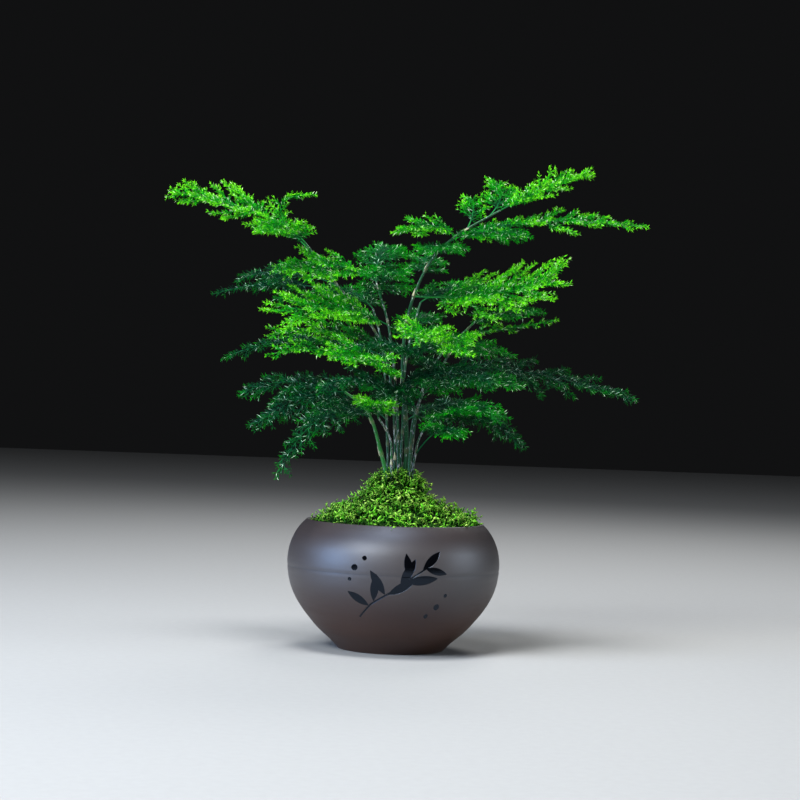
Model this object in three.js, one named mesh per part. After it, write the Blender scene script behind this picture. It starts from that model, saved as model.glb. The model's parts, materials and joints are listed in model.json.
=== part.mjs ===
// A potted lace fern: a small clay bowl with potting soil, a mound of moss, the plant's rootstock, its wiry
// canes and the flat, feathery fronds that they carry. Sizes are in millimetres, +Z is up, and the origin is
// under the bowl, on the surface that it stands on.
import * as THREE from "three";

const DEG = Math.PI / 180;
const UP = new THREE.Vector3(0, 0, 1);
const GAP = 0.35; // what neighbouring pieces keep between them

// The bowl's driving sizes.
const BOWL_RADIUS = 53;
const BOWL_HEIGHT = 64;
const BELLY_HEIGHT = 0.64 * BOWL_HEIGHT;
const MOUTH_RADIUS = 44;
const FOOT_RADIUS = 26.5;
const FOOT_WIDTH = 4;
const FOOT_DEPTH = 1.6;
const FLOOR_TOP = 6.6;
const WALL = 3.8;
const DRAIN_RADIUS = 6;
const BOWL_SIDES = 32;
const BOWL_LEVELS = 9;

// The filling.
const MESH_RADIUS = 11;
const MESH_THICKNESS = 1.2;
const MESH_OPENING = 2.1;
const MESH_PITCH = 5.8;
const SOIL_TOP = 56.5;
const CROWN_RADIUS = 10.8;
const CROWN_TOP = 84;
const ROOT_DEPTH = 30;
const FILLING_SIDES = 20;

// The moss: a mound whose inner edge is at the crown, covered in short shoots.
const MOSS_INNER = CROWN_RADIUS + GAP;
const MOSS_SIDES = 24;
const MOSS_SHOOT = 3.6;
const MOSS_MOUND = [
  [0.99, 62.8],
  [0.83, 66.8],
  [0.63, 69.8],
  [0.44, 72.6],
  [0.33, 77.4],
]; // share of the mouth's radius, height

// The canes and fronds.
const CANE_SIDES = 5;
const CANE_STEP = 10;
const KNUCKLE = 1.22; // how much thicker a cane is at its joints
const RIB_RADIUS = 0.7;
const TWIG_RADIUS = 0.5;
const NODE_LENGTH = 1.1; // the short stretch of a twig that a whorl of needles grows from
const WHORL_PITCH = 9.9;
const TWIG_ANGLE = 58 * DEG;
const TIP_TAPER = { pointed: 0.86, blunt: 0.6 }; // how far the twigs shorten up to a frond's tip
const NEEDLE_LEAN = 34 * DEG;
const NEEDLE_RADIUS = 0.25;
const CLEARANCE = 0.45;

// Each cane: where it runs, and its radius at the crown and at its end.
const CANES = {
  cane_low_left: {
    radii: [1.35, 0.6],
    route: [
      [-4.4, -3, 84.8], [-6.4, -3.6, 92], [-9.4, -4.5, 102], [-12.6, -6, 112], [-18, -8, 121],
      [-27, -10, 127],
    ],
  },
  cane_front: {
    radii: [0.75, 0.5],
    route: [
      [-2.6, -6.4, 84.3], [-2.8, -6.9, 95], [-3.6, -8, 104], [-6.5, -10.5, 110], [-10, -14, 115],
    ],
  },
  cane_crest_left: {
    radii: [0.9, 0.5],
    route: [
      [-1.2, 1, 84.3], [-1, 1.2, 95], [-1.8, 1.8, 110], [-4, 2.6, 130], [-9, 2.6, 150], [-20, 1, 167],
      [-30, -1, 177], [-40, -2, 189], [-50, -3, 201],
    ],
  },
  cane_centre: {
    radii: [0.95, 0.5],
    route: [
      [1, -3, 84.3], [0.5, -3.2, 98], [-0.5, -3.8, 115], [-2.5, -4.6, 135], [-5, -4, 152],
      [-8, -3, 166], [-12.5, -1.5, 179], [-15, 0, 187],
    ],
  },
  cane_crest_right: {
    radii: [1.6, 0.5],
    route: [
      [4, -1, 84.3], [4.6, -1, 98], [3.9, -0.6, 112], [1.8, 0, 130], [1, 0.4, 148], [2.6, 0.6, 165],
      [6, 0.4, 178], [11, 0, 190], [17, -0.5, 199], [26, -1, 207.5], [36, -1, 214], [47, -1.5, 220.5],
    ],
  },
  cane_mid_right: {
    radii: [0.8, 0.5],
    route: [
      [6.2, -5.2, 84.3], [6.3, -5.3, 98], [7, -5.8, 112], [11, -6.4, 126], [17, -6.6, 135],
      [23, -6.4, 146], [27, -6, 153],
    ],
  },
  cane_low_right: {
    radii: [0.85, 0.5],
    route: [
      [8.3, -2.2, 84.3], [8, -2.4, 90], [9.2, -2.8, 98], [10.2, -3.2, 104], [13, -3.6, 110],
      [18, -4, 116],
    ],
  },
  cane_bright_right: {
    radii: [0.85, 0.5],
    route: [
      [6.5, 3.2, 84.3], [7.2, 3.8, 100], [9.4, 4.6, 120], [14.5, 5, 138], [22, 4.4, 150], [30, 3, 158],
      [38, 1, 166],
    ],
  },
  cane_back: {
    radii: [0.9, 0.5],
    route: [
      [1.5, 5.4, 84.3], [2, 7, 100], [2.2, 9.4, 120], [2.4, 12.4, 140], [5, 15.6, 158], [9, 19, 174],
    ],
  },
  cane_back_left: {
    radii: [0.85, 0.5],
    route: [
      [-4, 4.4, 84.3], [-5, 6.6, 100], [-6.4, 9.4, 120], [-8, 12.4, 138], [-10.5, 14.6, 155],
      [-15, 17.6, 170],
    ],
  },
};

// Each frond: the height at which it leaves its cane (none for one that ends its cane), the point that its
// rib bends over, its tip, its age, the length of its longest side twigs, how many pairs of them, the share
// of the rib that is bare, how far the blade is rolled about its rib, the length of its needles, and whether
// its end is blunt.
const FRONDS = {
  crest_left: {
    cane: "cane_crest_left", over: [-64, -10, 216.5], tip: [-116, -18, 222],
    age: "new", reach: 23.5, pairs: 6, bare: 0.18, roll: -28, needle: 3.4,
  },
  crest_left_low: {
    cane: "cane_crest_left", leaves: 198, over: [-60, -17, 212], tip: [-67, -42, 202],
    age: "young", reach: 19, pairs: 5, bare: 0.14, roll: -8, needle: 3.4,
  },
  crest_left_spur: {
    cane: "cane_crest_left", leaves: 196, over: [-80, 6, 225], tip: [-46, 3, 225.5],
    age: "new", reach: 7, pairs: 3, bare: 0.5, roll: 0, needle: 3.2,
  },
  crest_right: {
    cane: "cane_crest_right", over: [66, -4, 232], tip: [91, -8, 239.5],
    age: "new", reach: 19, pairs: 5, bare: 0.1, roll: 24, needle: 3.4,
  },
  crest_right_back: {
    cane: "cane_crest_right", leaves: 217.5, over: [52, 10, 230], tip: [45, 24, 237.5],
    age: "young", reach: 13, pairs: 4, bare: 0.2, roll: 12, needle: 3.4,
  },
  crest_right_long: {
    cane: "cane_crest_right", leaves: 207.5, over: [66, -14, 219.5], tip: [118, -14, 213.5],
    age: "young", reach: 18.5, pairs: 7, bare: 0.08, roll: 22, needle: 3.4,
  },
  crest_right_left_high: {
    cane: "cane_crest_right", leaves: 211, over: [37, 8, 225], tip: [30, 17, 228.5],
    age: "young", reach: 10, pairs: 3, bare: 0.2, roll: 0, needle: 3.4,
  },
  crest_right_short: {
    cane: "cane_crest_right", leaves: 203.5, over: [34, -14, 211], tip: [58, -34, 206.5],
    age: "grown", reach: 18, pairs: 3, bare: 0.2, roll: 0, needle: 3.4,
  },
  crest_right_left: {
    cane: "cane_crest_right", leaves: 206, over: [22, -6, 215], tip: [-4, -14, 207],
    age: "young", reach: 16, pairs: 4, bare: 0.12, roll: -14, needle: 3.4,
  },
  crest_right_front: {
    cane: "cane_crest_right", leaves: 197, over: [18, -20, 201], tip: [20, -40, 198],
    age: "grown", reach: 17, pairs: 4, bare: 0.12, roll: 0, needle: 3.6,
  },
  top_dome: {
    cane: "cane_centre", over: [-12, 14, 199], tip: [-9, 40, 204],
    age: "grown", reach: 18, pairs: 4, bare: 0.14, roll: 0, needle: 4,
  },
  top_dome_right: {
    cane: "cane_crest_right", leaves: 187, over: [10, 16, 196], tip: [13, 34, 199],
    age: "grown", reach: 15, pairs: 3, bare: 0.14, roll: 0, needle: 4,
  },
  upper_left: {
    cane: "cane_centre", leaves: 183, over: [-36, -12, 195.5], tip: [-60, -20, 185],
    age: "young", reach: 23, pairs: 5, bare: 0.12, roll: -25, needle: 3.6,
  },
  upper_left_dark: {
    cane: "cane_crest_left", leaves: 180, over: [-56, 18, 191], tip: [-84, 30, 185],
    age: "old", reach: 19, pairs: 4, bare: 0.2, roll: -28, needle: 4.2,
  },
  upper_left_tail: {
    cane: "cane_crest_left", leaves: 175, over: [-60, 4, 186], tip: [-95, 6, 174],
    age: "old", reach: 7, pairs: 5, bare: 0.3, roll: 0, needle: 3.8,
  },
  upper_left_slim: {
    cane: "cane_crest_left", leaves: 168, over: [-42, -6, 178], tip: [-63, -8, 172],
    age: "grown", reach: 10, pairs: 3, bare: 0.3, roll: 0, needle: 3.4,
  },
  top_middle: {
    cane: "cane_centre", leaves: 174, over: [-11, -18, 189], tip: [-6, -42, 185],
    age: "grown", reach: 20, pairs: 4, bare: 0.12, roll: -6, needle: 4,
  },
  mid_left: {
    cane: "cane_centre", leaves: 161, over: [-34, -20, 174], tip: [-57, -34, 163.5],
    age: "new", reach: 26, pairs: 5, bare: 0.1, roll: -36, needle: 3.6, end: "blunt",
  },
  mid_left_under: {
    cane: "cane_centre", leaves: 150, over: [-36, -14, 162], tip: [-66, -24, 153],
    age: "young", reach: 18, pairs: 4, bare: 0.16, roll: -30, needle: 3.6,
  },
  mid_left_dark: {
    cane: "cane_back_left", leaves: 146, over: [-48, 20, 163], tip: [-91, 24, 142],
    age: "old", reach: 14, pairs: 5, bare: 0.14, roll: -14, needle: 4.2,
  },
  mid_left_low: {
    cane: "cane_centre", leaves: 142, over: [-34, -26, 152], tip: [-64, -38, 143.5],
    age: "young", reach: 17, pairs: 4, bare: 0.14, roll: -26, needle: 3.6,
  },
  mid_left_front: {
    cane: "cane_centre", leaves: 133, over: [-16, -38, 150], tip: [-32, -72, 142],
    age: "young", reach: 25, pairs: 4, bare: 0.12, roll: -20, needle: 3.6,
  },
  front_bright: {
    cane: "cane_mid_right", leaves: 146, over: [15, -30, 161.5], tip: [4, -54, 154.5],
    age: "new", reach: 18, pairs: 4, bare: 0.12, roll: -12, needle: 3.6, end: "blunt",
  },
  front_bright_right: {
    cane: "cane_mid_right", over: [27, -24, 163], tip: [27, -48, 146],
    age: "new", reach: 15, pairs: 3, bare: 0.12, roll: 8, needle: 3.6, end: "blunt",
  },
  right_bright: {
    cane: "cane_crest_right", leaves: 176, over: [46, -22, 174], tip: [73, -34, 186],
    age: "new", reach: 30, pairs: 6, bare: 0.2, roll: 34, needle: 3.8, end: "blunt",
  },
  right_spur: {
    cane: "cane_bright_right", leaves: 158, over: [50, 0, 161], tip: [77, -4, 166.5],
    age: "new", reach: 7, pairs: 3, bare: 0.12, roll: 20, needle: 3.4,
  },
  right_bright_low: {
    cane: "cane_bright_right", over: [46, -12, 171], tip: [66, -28, 169],
    age: "grown", reach: 17, pairs: 4, bare: 0.06, roll: 10, needle: 3.6,
  },
  right_long_dark: {
    cane: "cane_bright_right", leaves: 141, over: [66, 12, 145], tip: [119.5, 14, 129],
    age: "old", reach: 22, pairs: 7, bare: 0.1, roll: 26, needle: 4.6,
  },
  low_right: {
    cane: "cane_low_right", over: [36, -8, 125], tip: [61, -17, 105],
    age: "old", reach: 14, pairs: 4, bare: 0.08, roll: 22, needle: 4.4,
  },
  low_right_spur: {
    cane: "cane_low_right", leaves: 97.5, over: [22, -20, 118], tip: [29, -40, 107],
    age: "grown", reach: 14, pairs: 3, bare: 0.36, roll: 0, needle: 4,
  },
  low_right_front: {
    cane: "cane_low_right", leaves: 108, over: [26, -26, 130], tip: [50, -42, 117.5],
    age: "grown", reach: 18, pairs: 4, bare: 0.16, roll: 10, needle: 4,
  },
  low_right_high: {
    cane: "cane_mid_right", leaves: 128, over: [38, -16, 140], tip: [58, -24, 133],
    age: "grown", reach: 20, pairs: 4, bare: 0.06, roll: 14, needle: 4,
  },
  low_left: {
    cane: "cane_low_left", leaves: 118, over: [-50, 2, 141], tip: [-80, 4, 124],
    age: "old", reach: 18, pairs: 5, bare: 0.1, roll: -30, needle: 4.6,
  },
  low_left_mid: {
    cane: "cane_low_left", over: [-50, -18, 128], tip: [-70, -28, 109],
    age: "old", reach: 15.5, pairs: 5, bare: 0.06, roll: -28, needle: 4.6,
  },
  low_left_drooping: {
    cane: "cane_low_left", leaves: 115, over: [-42, -34, 126], tip: [-57, -46, 85],
    age: "old", reach: 12, pairs: 5, bare: 0.1, roll: -20, needle: 4.6,
  },
  low_front: {
    cane: "cane_front", over: [-10, -26, 123], tip: [-14, -50, 122],
    age: "young", reach: 15, pairs: 4, bare: 0.1, roll: -10, needle: 3.4,
  },
  centre_dark: {
    cane: "cane_mid_right", leaves: 120, over: [-8, -26, 140], tip: [-38, -42, 130],
    age: "old", reach: 24, pairs: 4, bare: 0.04, roll: -14, needle: 4.2,
  },
  centre_left_dark: {
    cane: "cane_mid_right", leaves: 138, over: [0, -24, 158], tip: [-24, -36, 148],
    age: "old", reach: 19, pairs: 5, bare: 0.06, roll: -14, needle: 4.4,
  },
  centre_right_dark: {
    cane: "cane_centre", leaves: 130, over: [20, -22, 144], tip: [46, -34, 134],
    age: "old", reach: 21, pairs: 5, bare: 0.04, roll: 26, needle: 4.4,
  },
  back_low_left: {
    cane: "cane_back_left", leaves: 114, over: [-26, 42, 132], tip: [-46, 72, 112],
    age: "old", reach: 23, pairs: 5, bare: 0.12, roll: 0, needle: 4.4,
  },
  back_low_right: {
    cane: "cane_back", leaves: 112, over: [28, 38, 134], tip: [52, 66, 114],
    age: "old", reach: 23, pairs: 5, bare: 0.12, roll: 0, needle: 4.4,
  },
  back_middle: {
    cane: "cane_back", leaves: 148, over: [10, 36, 174], tip: [13, 62, 168],
    age: "grown", reach: 17, pairs: 4, bare: 0.12, roll: 0, needle: 4.2,
  },
  back_mid_right: {
    cane: "cane_back", leaves: 150, over: [34, 36, 158], tip: [56, 46, 149],
    age: "grown", reach: 22, pairs: 5, bare: 0.12, roll: 0, needle: 4,
  },
  back_upper_right: {
    cane: "cane_back", over: [26, 36, 188], tip: [50, 52, 184],
    age: "grown", reach: 18, pairs: 5, bare: 0.1, roll: 0, needle: 3.8,
  },
  back_upper_left: {
    cane: "cane_back_left", over: [-26, 36, 184], tip: [-46, 54, 178],
    age: "grown", reach: 18, pairs: 5, bare: 0.1, roll: 0, needle: 3.8,
  },
};

const point = (xyz) => new THREE.Vector3(...xyz);

// A repeatable number from -1 to 1 for each pair of whole numbers.
function wobble(first, second) {
  const value = Math.sin(first * 127.1 + second * 311.7) * 43758.5453;
  return 2 * (value - Math.floor(value)) - 1;
}

// A turned piece from a closed outline of [radius, height] points.
function turned(outline, sides) {
  const closed = [...outline, outline[0]].map(([r, z]) => new THREE.Vector2(r, z));
  return new THREE.LatheGeometry(closed, sides).rotateX(90 * DEG);
}

// A growing closed mesh. Rings are triangles; a band joins two rings that are turned 60 degrees to each
// other, so its six faces look out all round, and any face can be left flat, drawn out to a needle or used as
// the foot of a twig.
class Growth {
  constructor() {
    this.points = [];
    this.faces = [];
  }

  add(at) {
    this.points.push(at.clone());
    return this.points.length - 1;
  }

  firstRing(centre, side, up, radius) {
    return [-60, 60, 180].map((angle) =>
      this.add(
        centre
          .clone()
          .addScaledVector(side, radius * Math.cos(angle * DEG))
          .addScaledVector(up, radius * Math.sin(angle * DEG)),
      ),
    );
  }

  centreOf(ring) {
    return ring.reduce((sum, i) => sum.add(this.points[i]), new THREE.Vector3()).divideScalar(ring.length);
  }

  nextRing(ring, centre, along, radius) {
    const from = this.centreOf(ring);
    return ring.map((a, i) => {
      const out = this.points[a].clone().add(this.points[ring[(i + 1) % 3]]).divideScalar(2).sub(from);
      out.addScaledVector(along, -out.dot(along)).normalize();
      return this.add(centre.clone().addScaledVector(out, radius));
    });
  }

  band(low, high) {
    return low.flatMap((a, i) => {
      const next = (i + 1) % 3;
      return [
        [a, low[next], high[i]],
        [low[next], high[next], high[i]],
      ];
    });
  }

  flat(...faces) {
    this.faces.push(...faces);
  }

  drawOut([a, b, c], tip) {
    const t = this.add(tip);
    this.faces.push([a, b, t], [b, c, t], [c, a, t]);
  }

  geometry() {
    return new THREE.BufferGeometry()
      .setAttribute("position", new THREE.Float32BufferAttribute(this.points.flatMap((p) => p.toArray()), 3))
      .setIndex(this.faces.flat());
  }
}

// Every stretch of cane, rib, twig and needle, so that a new one can keep clear of what is already there.
const crowd = [];

function nearest(a, b, c, d) {
  const u = b.clone().sub(a);
  const v = d.clone().sub(c);
  const w = a.clone().sub(c);
  const uu = u.dot(u);
  const uv = u.dot(v);
  const vv = v.dot(v);
  const det = uu * vv - uv * uv;
  let s = det < 1e-9 ? 0 : THREE.MathUtils.clamp((uv * v.dot(w) - vv * u.dot(w)) / det, 0, 1);
  const t = THREE.MathUtils.clamp((v.dot(w) + s * uv) / vv, 0, 1);
  s = THREE.MathUtils.clamp((t * uv - u.dot(w)) / uu, 0, 1);
  return w.addScaledVector(u, s).addScaledVector(v, -t).length();
}

function isClear(a, b, radius, mayTouch) {
  const reach = a.distanceTo(b) / 2;
  const middle = a.clone().add(b).divideScalar(2);
  return crowd.every(
    (other) =>
      mayTouch(other) ||
      middle.distanceTo(other.middle) > reach + other.reach + radius + other.radius + CLEARANCE ||
      nearest(a, b, other.a, other.b) > radius + other.radius + CLEARANCE,
  );
}

function enter(a, b, radius, frond, twig) {
  const middle = a.clone().add(b).divideScalar(2);
  crowd.push({ a, b, radius, frond, twig, middle, reach: a.distanceTo(b) / 2 });
}

// The bowl's outside, from its foot to its lip, and lines that run a set distance inside it.
const bowlOutside = new THREE.SplineCurve(
  [
    [FOOT_RADIUS, 0],
    [0.572 * BOWL_RADIUS, 4],
    [0.775 * BOWL_RADIUS, 14],
    [0.943 * BOWL_RADIUS, 27],
    [BOWL_RADIUS, BELLY_HEIGHT],
    [0.982 * BOWL_RADIUS, 51],
    [MOUTH_RADIUS + 3, BOWL_HEIGHT - 4],
    [MOUTH_RADIUS, BOWL_HEIGHT - 0.5],
  ].map(([r, z]) => new THREE.Vector2(r, z)),
);

function bowlLine(inset, lowest, highest) {
  const line = [];
  for (let i = 0; i <= BOWL_LEVELS; i++) {
    const at = bowlOutside.getPoint(i / BOWL_LEVELS);
    const along = bowlOutside.getTangent(i / BOWL_LEVELS);
    line.push([at.x - along.y * inset, at.y + along.x * inset]);
  }
  const radiusAt = (height) => {
    const i = Math.max(1, line.findIndex(([, z], k) => z >= height || k === line.length - 1));
    const [[r0, z0], [r1, z1]] = [line[i - 1], line[i]];
    return r0 + ((r1 - r0) * (height - z0)) / (z1 - z0);
  };
  const between = line.filter(([, z]) => z > lowest + 0.5 && z < highest - 0.5);
  return [[radiusAt(lowest), lowest], ...between, [radiusAt(highest), highest]];
}

function makeBowl() {
  const outside = bowlLine(0, 0, BOWL_HEIGHT - 0.5);
  const inside = bowlLine(WALL, FLOOR_TOP + 1, BOWL_HEIGHT - 1.4).reverse();
  const lip = [[MOUTH_RADIUS - 1.6, BOWL_HEIGHT]];
  return turned(
    [
      ...outside,
      ...lip,
      ...inside,
      [inside.at(-1)[0] - 6, FLOOR_TOP],
      [DRAIN_RADIUS, FLOOR_TOP],
      [DRAIN_RADIUS, FOOT_DEPTH],
      [FOOT_RADIUS - FOOT_WIDTH - FOOT_DEPTH, FOOT_DEPTH],
      [FOOT_RADIUS - FOOT_WIDTH, 0],
    ],
    BOWL_SIDES,
  );
}

// The plastic mesh that keeps the soil out of the drain hole: a disc with seven six-sided openings.
function ringOfPoints(x, y, radius, count, start) {
  return Array.from({ length: count }, (_, i) => {
    const angle = start + (i * 2 * Math.PI) / count;
    return new THREE.Vector2(x + radius * Math.cos(angle), y + radius * Math.sin(angle));
  });
}

function makeDrainMesh() {
  const disc = new THREE.Shape(ringOfPoints(0, 0, MESH_RADIUS, 18, 0));
  disc.holes.push(new THREE.Path(ringOfPoints(0, 0, MESH_OPENING, 6, 0.1)));
  for (let i = 0; i < 6; i++) {
    const angle = (0.2 + i) * 60 * DEG;
    const [x, y] = [MESH_PITCH * Math.cos(angle), MESH_PITCH * Math.sin(angle)];
    disc.holes.push(new THREE.Path(ringOfPoints(x, y, MESH_OPENING, 6, angle + 0.1)));
  }
  const flat = new THREE.ExtrudeGeometry(disc, { depth: MESH_THICKNESS, bevelEnabled: false });
  return flat.translate(0, 0, FLOOR_TOP + GAP);
}

const rootOutside = [
  [0, ROOT_DEPTH],
  [2.5, ROOT_DEPTH],
  [6, 0.55 * SOIL_TOP + 0.2 * ROOT_DEPTH],
  [CROWN_RADIUS - 2, SOIL_TOP - 6],
  [CROWN_RADIUS, SOIL_TOP + 4],
  [CROWN_RADIUS, CROWN_TOP - 5],
  [CROWN_RADIUS - 1.4, CROWN_TOP - 1.2],
  [CROWN_RADIUS - 3, CROWN_TOP],
  [0, CROWN_TOP],
];

function makeRootstock() {
  return turned(rootOutside, FILLING_SIDES);
}

function makeSoil() {
  const floor = FLOOR_TOP + GAP + MESH_THICKNESS + GAP;
  const outside = bowlLine(WALL + GAP + 0.25, floor + 1, SOIL_TOP);
  const socket = rootOutside
    .slice(1, 4)
    .map(([r, z]) => [r + GAP, z - GAP])
    .reverse();
  return turned(
    [
      [0, floor],
      [outside[0][0] - 5, floor],
      ...outside,
      [CROWN_RADIUS + GAP, SOIL_TOP],
      ...socket,
      [0, ROOT_DEPTH - GAP],
    ],
    FILLING_SIDES,
  );
}

// The moss: a closed mound in which each face of the upper side is drawn out to a shoot.
function makeMoss() {
  const moss = new Growth();
  const edge = bowlLine(WALL + GAP + 0.25, SOIL_TOP + GAP, BOWL_HEIGHT - 1.4);
  const levels = [
    [MOSS_INNER, SOIL_TOP + GAP, 0],
    [...edge[0], 0],
    [...edge.at(-1), 0],
    ...MOSS_MOUND.map(([share, z]) => [share * edge.at(-1)[0], z, 1]),
    [MOSS_INNER, CROWN_TOP - 0.6, 0],
  ];
  const rings = levels.map(([r, z, uneven], k) =>
    Array.from({ length: MOSS_SIDES }, (_, i) => {
      const angle = ((i + 0.5 * (k % 2)) * 2 * Math.PI) / MOSS_SIDES;
      const lift = uneven * wobble(k, i);
      return moss.add(new THREE.Vector3(r * Math.cos(angle), r * Math.sin(angle), z + lift));
    }),
  );
  rings.forEach((low, k) => {
    const high = rings[(k + 1) % rings.length];
    const shift = k % 2 ? 1 : 0;
    const isTop = k > 1 && k < rings.length - 1; // below that, the moss lies against the bowl
    low.forEach((a, i) => {
      const b = low[(i + 1) % MOSS_SIDES];
      const c = high[(i + shift) % MOSS_SIDES];
      const d = high[(i + shift + MOSS_SIDES - 1) % MOSS_SIDES];
      const faces = [
        [a, b, c],
        [a, c, d],
      ];
      faces.forEach((face, side) => {
        if (!isTop) return moss.flat(face);
        const [p, q, r] = face.map((v) => moss.points[v]);
        const normal = q.clone().sub(p).cross(r.clone().sub(p)).normalize();
        const centre = moss.centreOf(face);
        const lean = new THREE.Vector3(wobble(i, 7 * k + side), wobble(i + 50, 7 * k + side), 1.1);
        const shoot = normal.add(lean.multiplyScalar(0.7)).normalize();
        const length = MOSS_SHOOT * (1 + 0.3 * wobble(i + 90, k + side));
        moss.drawOut(face, centre.addScaledVector(shoot, length));
      });
    });
  });
  return moss.geometry();
}

// A cane: a tapering tube with a swelling every few centimetres, where its scale leaves sit.
function makeCane(cane) {
  const length = cane.curve.getLength();
  const steps = Math.round(length / CANE_STEP);
  const points = [];
  const faces = [];
  for (let i = 0; i <= steps; i++) {
    const centre = cane.curve.getPointAt(i / steps);
    const along = cane.curve.getTangentAt(i / steps);
    const side = new THREE.Vector3(0, 1, 0).cross(along).normalize();
    const up = along.clone().cross(side);
    const swelling = i % 3 === 1 ? KNUCKLE : 1;
    for (let k = 0; k < CANE_SIDES; k++) {
      const angle = (k * 2 * Math.PI) / CANE_SIDES;
      const radius = cane.radiusAt(i / steps) * swelling;
      points.push(
        centre
          .clone()
          .addScaledVector(side, radius * Math.cos(angle))
          .addScaledVector(up, radius * Math.sin(angle)),
      );
    }
  }
  const at = (i, k) => i * CANE_SIDES + (k % CANE_SIDES);
  for (let i = 0; i < steps; i++) {
    for (let k = 0; k < CANE_SIDES; k++) {
      faces.push([at(i, k), at(i, k + 1), at(i + 1, k)], [at(i, k + 1), at(i + 1, k + 1), at(i + 1, k)]);
    }
  }
  for (let k = 1; k < CANE_SIDES - 1; k++) {
    faces.push([at(0, 0), at(0, k + 1), at(0, k)], [at(steps, 0), at(steps, k), at(steps, k + 1)]);
  }
  return new THREE.BufferGeometry()
    .setAttribute("position", new THREE.Float32BufferAttribute(points.flatMap((p) => p.toArray()), 3))
    .setIndex(faces.flat());
}

for (const cane of Object.values(CANES)) {
  cane.curve = new THREE.CatmullRomCurve3(cane.route.map(point), false, "centripetal");
  cane.radiusAt = (share) => THREE.MathUtils.lerp(...cane.radii, Math.sqrt(share));
  const steps = 24;
  for (let i = 0; i < steps; i++) {
    const [from, to] = [i / steps, (i + 1) / steps];
    enter(cane.curve.getPointAt(from), cane.curve.getPointAt(to), KNUCKLE * cane.radiusAt(from));
  }
}

function shareAtHeight(curve, height) {
  let [low, high] = [0, 1];
  while (high - low > 1e-6) {
    const middle = (low + high) / 2;
    if (curve.getPointAt(middle).z < height) low = middle;
    else high = middle;
  }
  return low;
}

// Where a frond's rib starts: at the cane's end, or on its side, always just clear of it.
function startOfRib(frond) {
  const cane = CANES[frond.cane];
  const towards = point(frond.over);
  if (frond.leaves === undefined) {
    const end = cane.curve.getPointAt(1);
    const onwards = cane.curve.getTangentAt(1);
    const bend = towards.sub(end).angleTo(onwards);
    return end.addScaledVector(onwards, GAP + RIB_RADIUS * Math.sin(bend));
  }
  const share = shareAtHeight(cane.curve, frond.leaves);
  const at = cane.curve.getPointAt(share);
  const along = cane.curve.getTangentAt(share);
  const heading = towards.sub(at).normalize();
  const slant = Math.abs(heading.dot(along));
  const out = heading.addScaledVector(along, -heading.dot(along)).normalize();
  return at.addScaledVector(out, KNUCKLE * cane.radiusAt(share) + GAP + RIB_RADIUS * slant);
}

// The frond's own directions at a share of its rib: along it, and to its left and up, turned by the roll.
function ribFrame(frond, share) {
  const along = frond.rib.getTangentAt(share);
  const level = UP.clone().cross(along).normalize();
  const over = along.clone().cross(level);
  const roll = frond.roll * DEG;
  const side = level.clone().multiplyScalar(Math.cos(roll)).addScaledVector(over, Math.sin(roll));
  return { along, side, up: along.clone().cross(side) };
}

// How long the side twigs are along the rib: growing for the first quarter, then shrinking towards the tip.
function twigShare(feathered, taper) {
  return Math.pow(1 - taper * feathered, 0.8) * Math.min(1, 0.66 + 1.6 * feathered);
}

function makeTwig(frond, pair, hand) {
  const feathered = pair / frond.pairs;
  const share = frond.bare + (0.93 - frond.bare) * feathered;
  const { along, side, up } = ribFrame(frond, share);
  const seed = frond.seed * 40 + pair * 2 + (hand > 0 ? 1 : 0);
  const taper = TIP_TAPER[frond.end ?? "pointed"];
  const length = frond.reach * twigShare(feathered, taper) * (1 + 0.12 * wobble(seed, 1));
  const angle = TWIG_ANGLE * (1 - 0.25 * feathered) + 5 * DEG * wobble(seed, 2);
  const out = along
    .clone()
    .multiplyScalar(Math.cos(angle))
    .addScaledVector(side, hand * Math.sin(angle))
    .addScaledVector(up, 0.2 * wobble(seed, 3))
    .normalize();
  const root = frond.rib.getPointAt(share);
  const pointAt = (distance) => {
    const bend = (distance * distance) / frond.reach;
    return root
      .clone()
      .addScaledVector(out, distance)
      .addScaledVector(along, 0.2 * bend)
      .addScaledVector(UP, -0.16 * bend);
  };
  return { pair, hand, length, pointAt };
}

for (const [index, [name, frond]] of Object.entries(FRONDS).entries()) {
  frond.name = name;
  frond.seed = index + 1;
  frond.rib = new THREE.QuadraticBezierCurve3(startOfRib(frond), point(frond.over), point(frond.tip));
  const steps = 16;
  for (let i = 0; i < steps; i++) {
    enter(frond.rib.getPointAt(i / steps), frond.rib.getPointAt((i + 1) / steps), RIB_RADIUS, name, "rib");
  }
}

// The side twigs, each as long as it can be without meeting anything.
for (const frond of Object.values(FRONDS)) {
  frond.twigs = [];
  for (let pair = 0; pair < frond.pairs; pair++) {
    for (const hand of [1, -1]) {
      const twig = makeTwig(frond, pair, hand);
      const id = pair * 2 + (hand > 0 ? 0 : 1);
      const mayTouch = (other) =>
        other.frond === frond.name && (other.twig === "rib" || other.twig >> 1 === pair);
      const shares = [1, 0.8, 0.62, 0.45];
      const share = shares.find((part) => {
        const stops = [0.08, 0.36, 0.68, 1].map((s) => twig.pointAt(s * part * twig.length));
        return stops.slice(1).every((stop, i) => isClear(stops[i], stop, TWIG_RADIUS, mayTouch));
      });
      if (share === undefined) continue;
      twig.length *= share;
      twig.id = id;
      const stops = [0.08, 0.36, 0.68, 1].map((s) => twig.pointAt(s * twig.length));
      stops.slice(1).forEach((stop, i) => enter(stops[i], stop, TWIG_RADIUS, frond.name, id));
      frond.twigs.push(twig);
    }
  }
}

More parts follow.
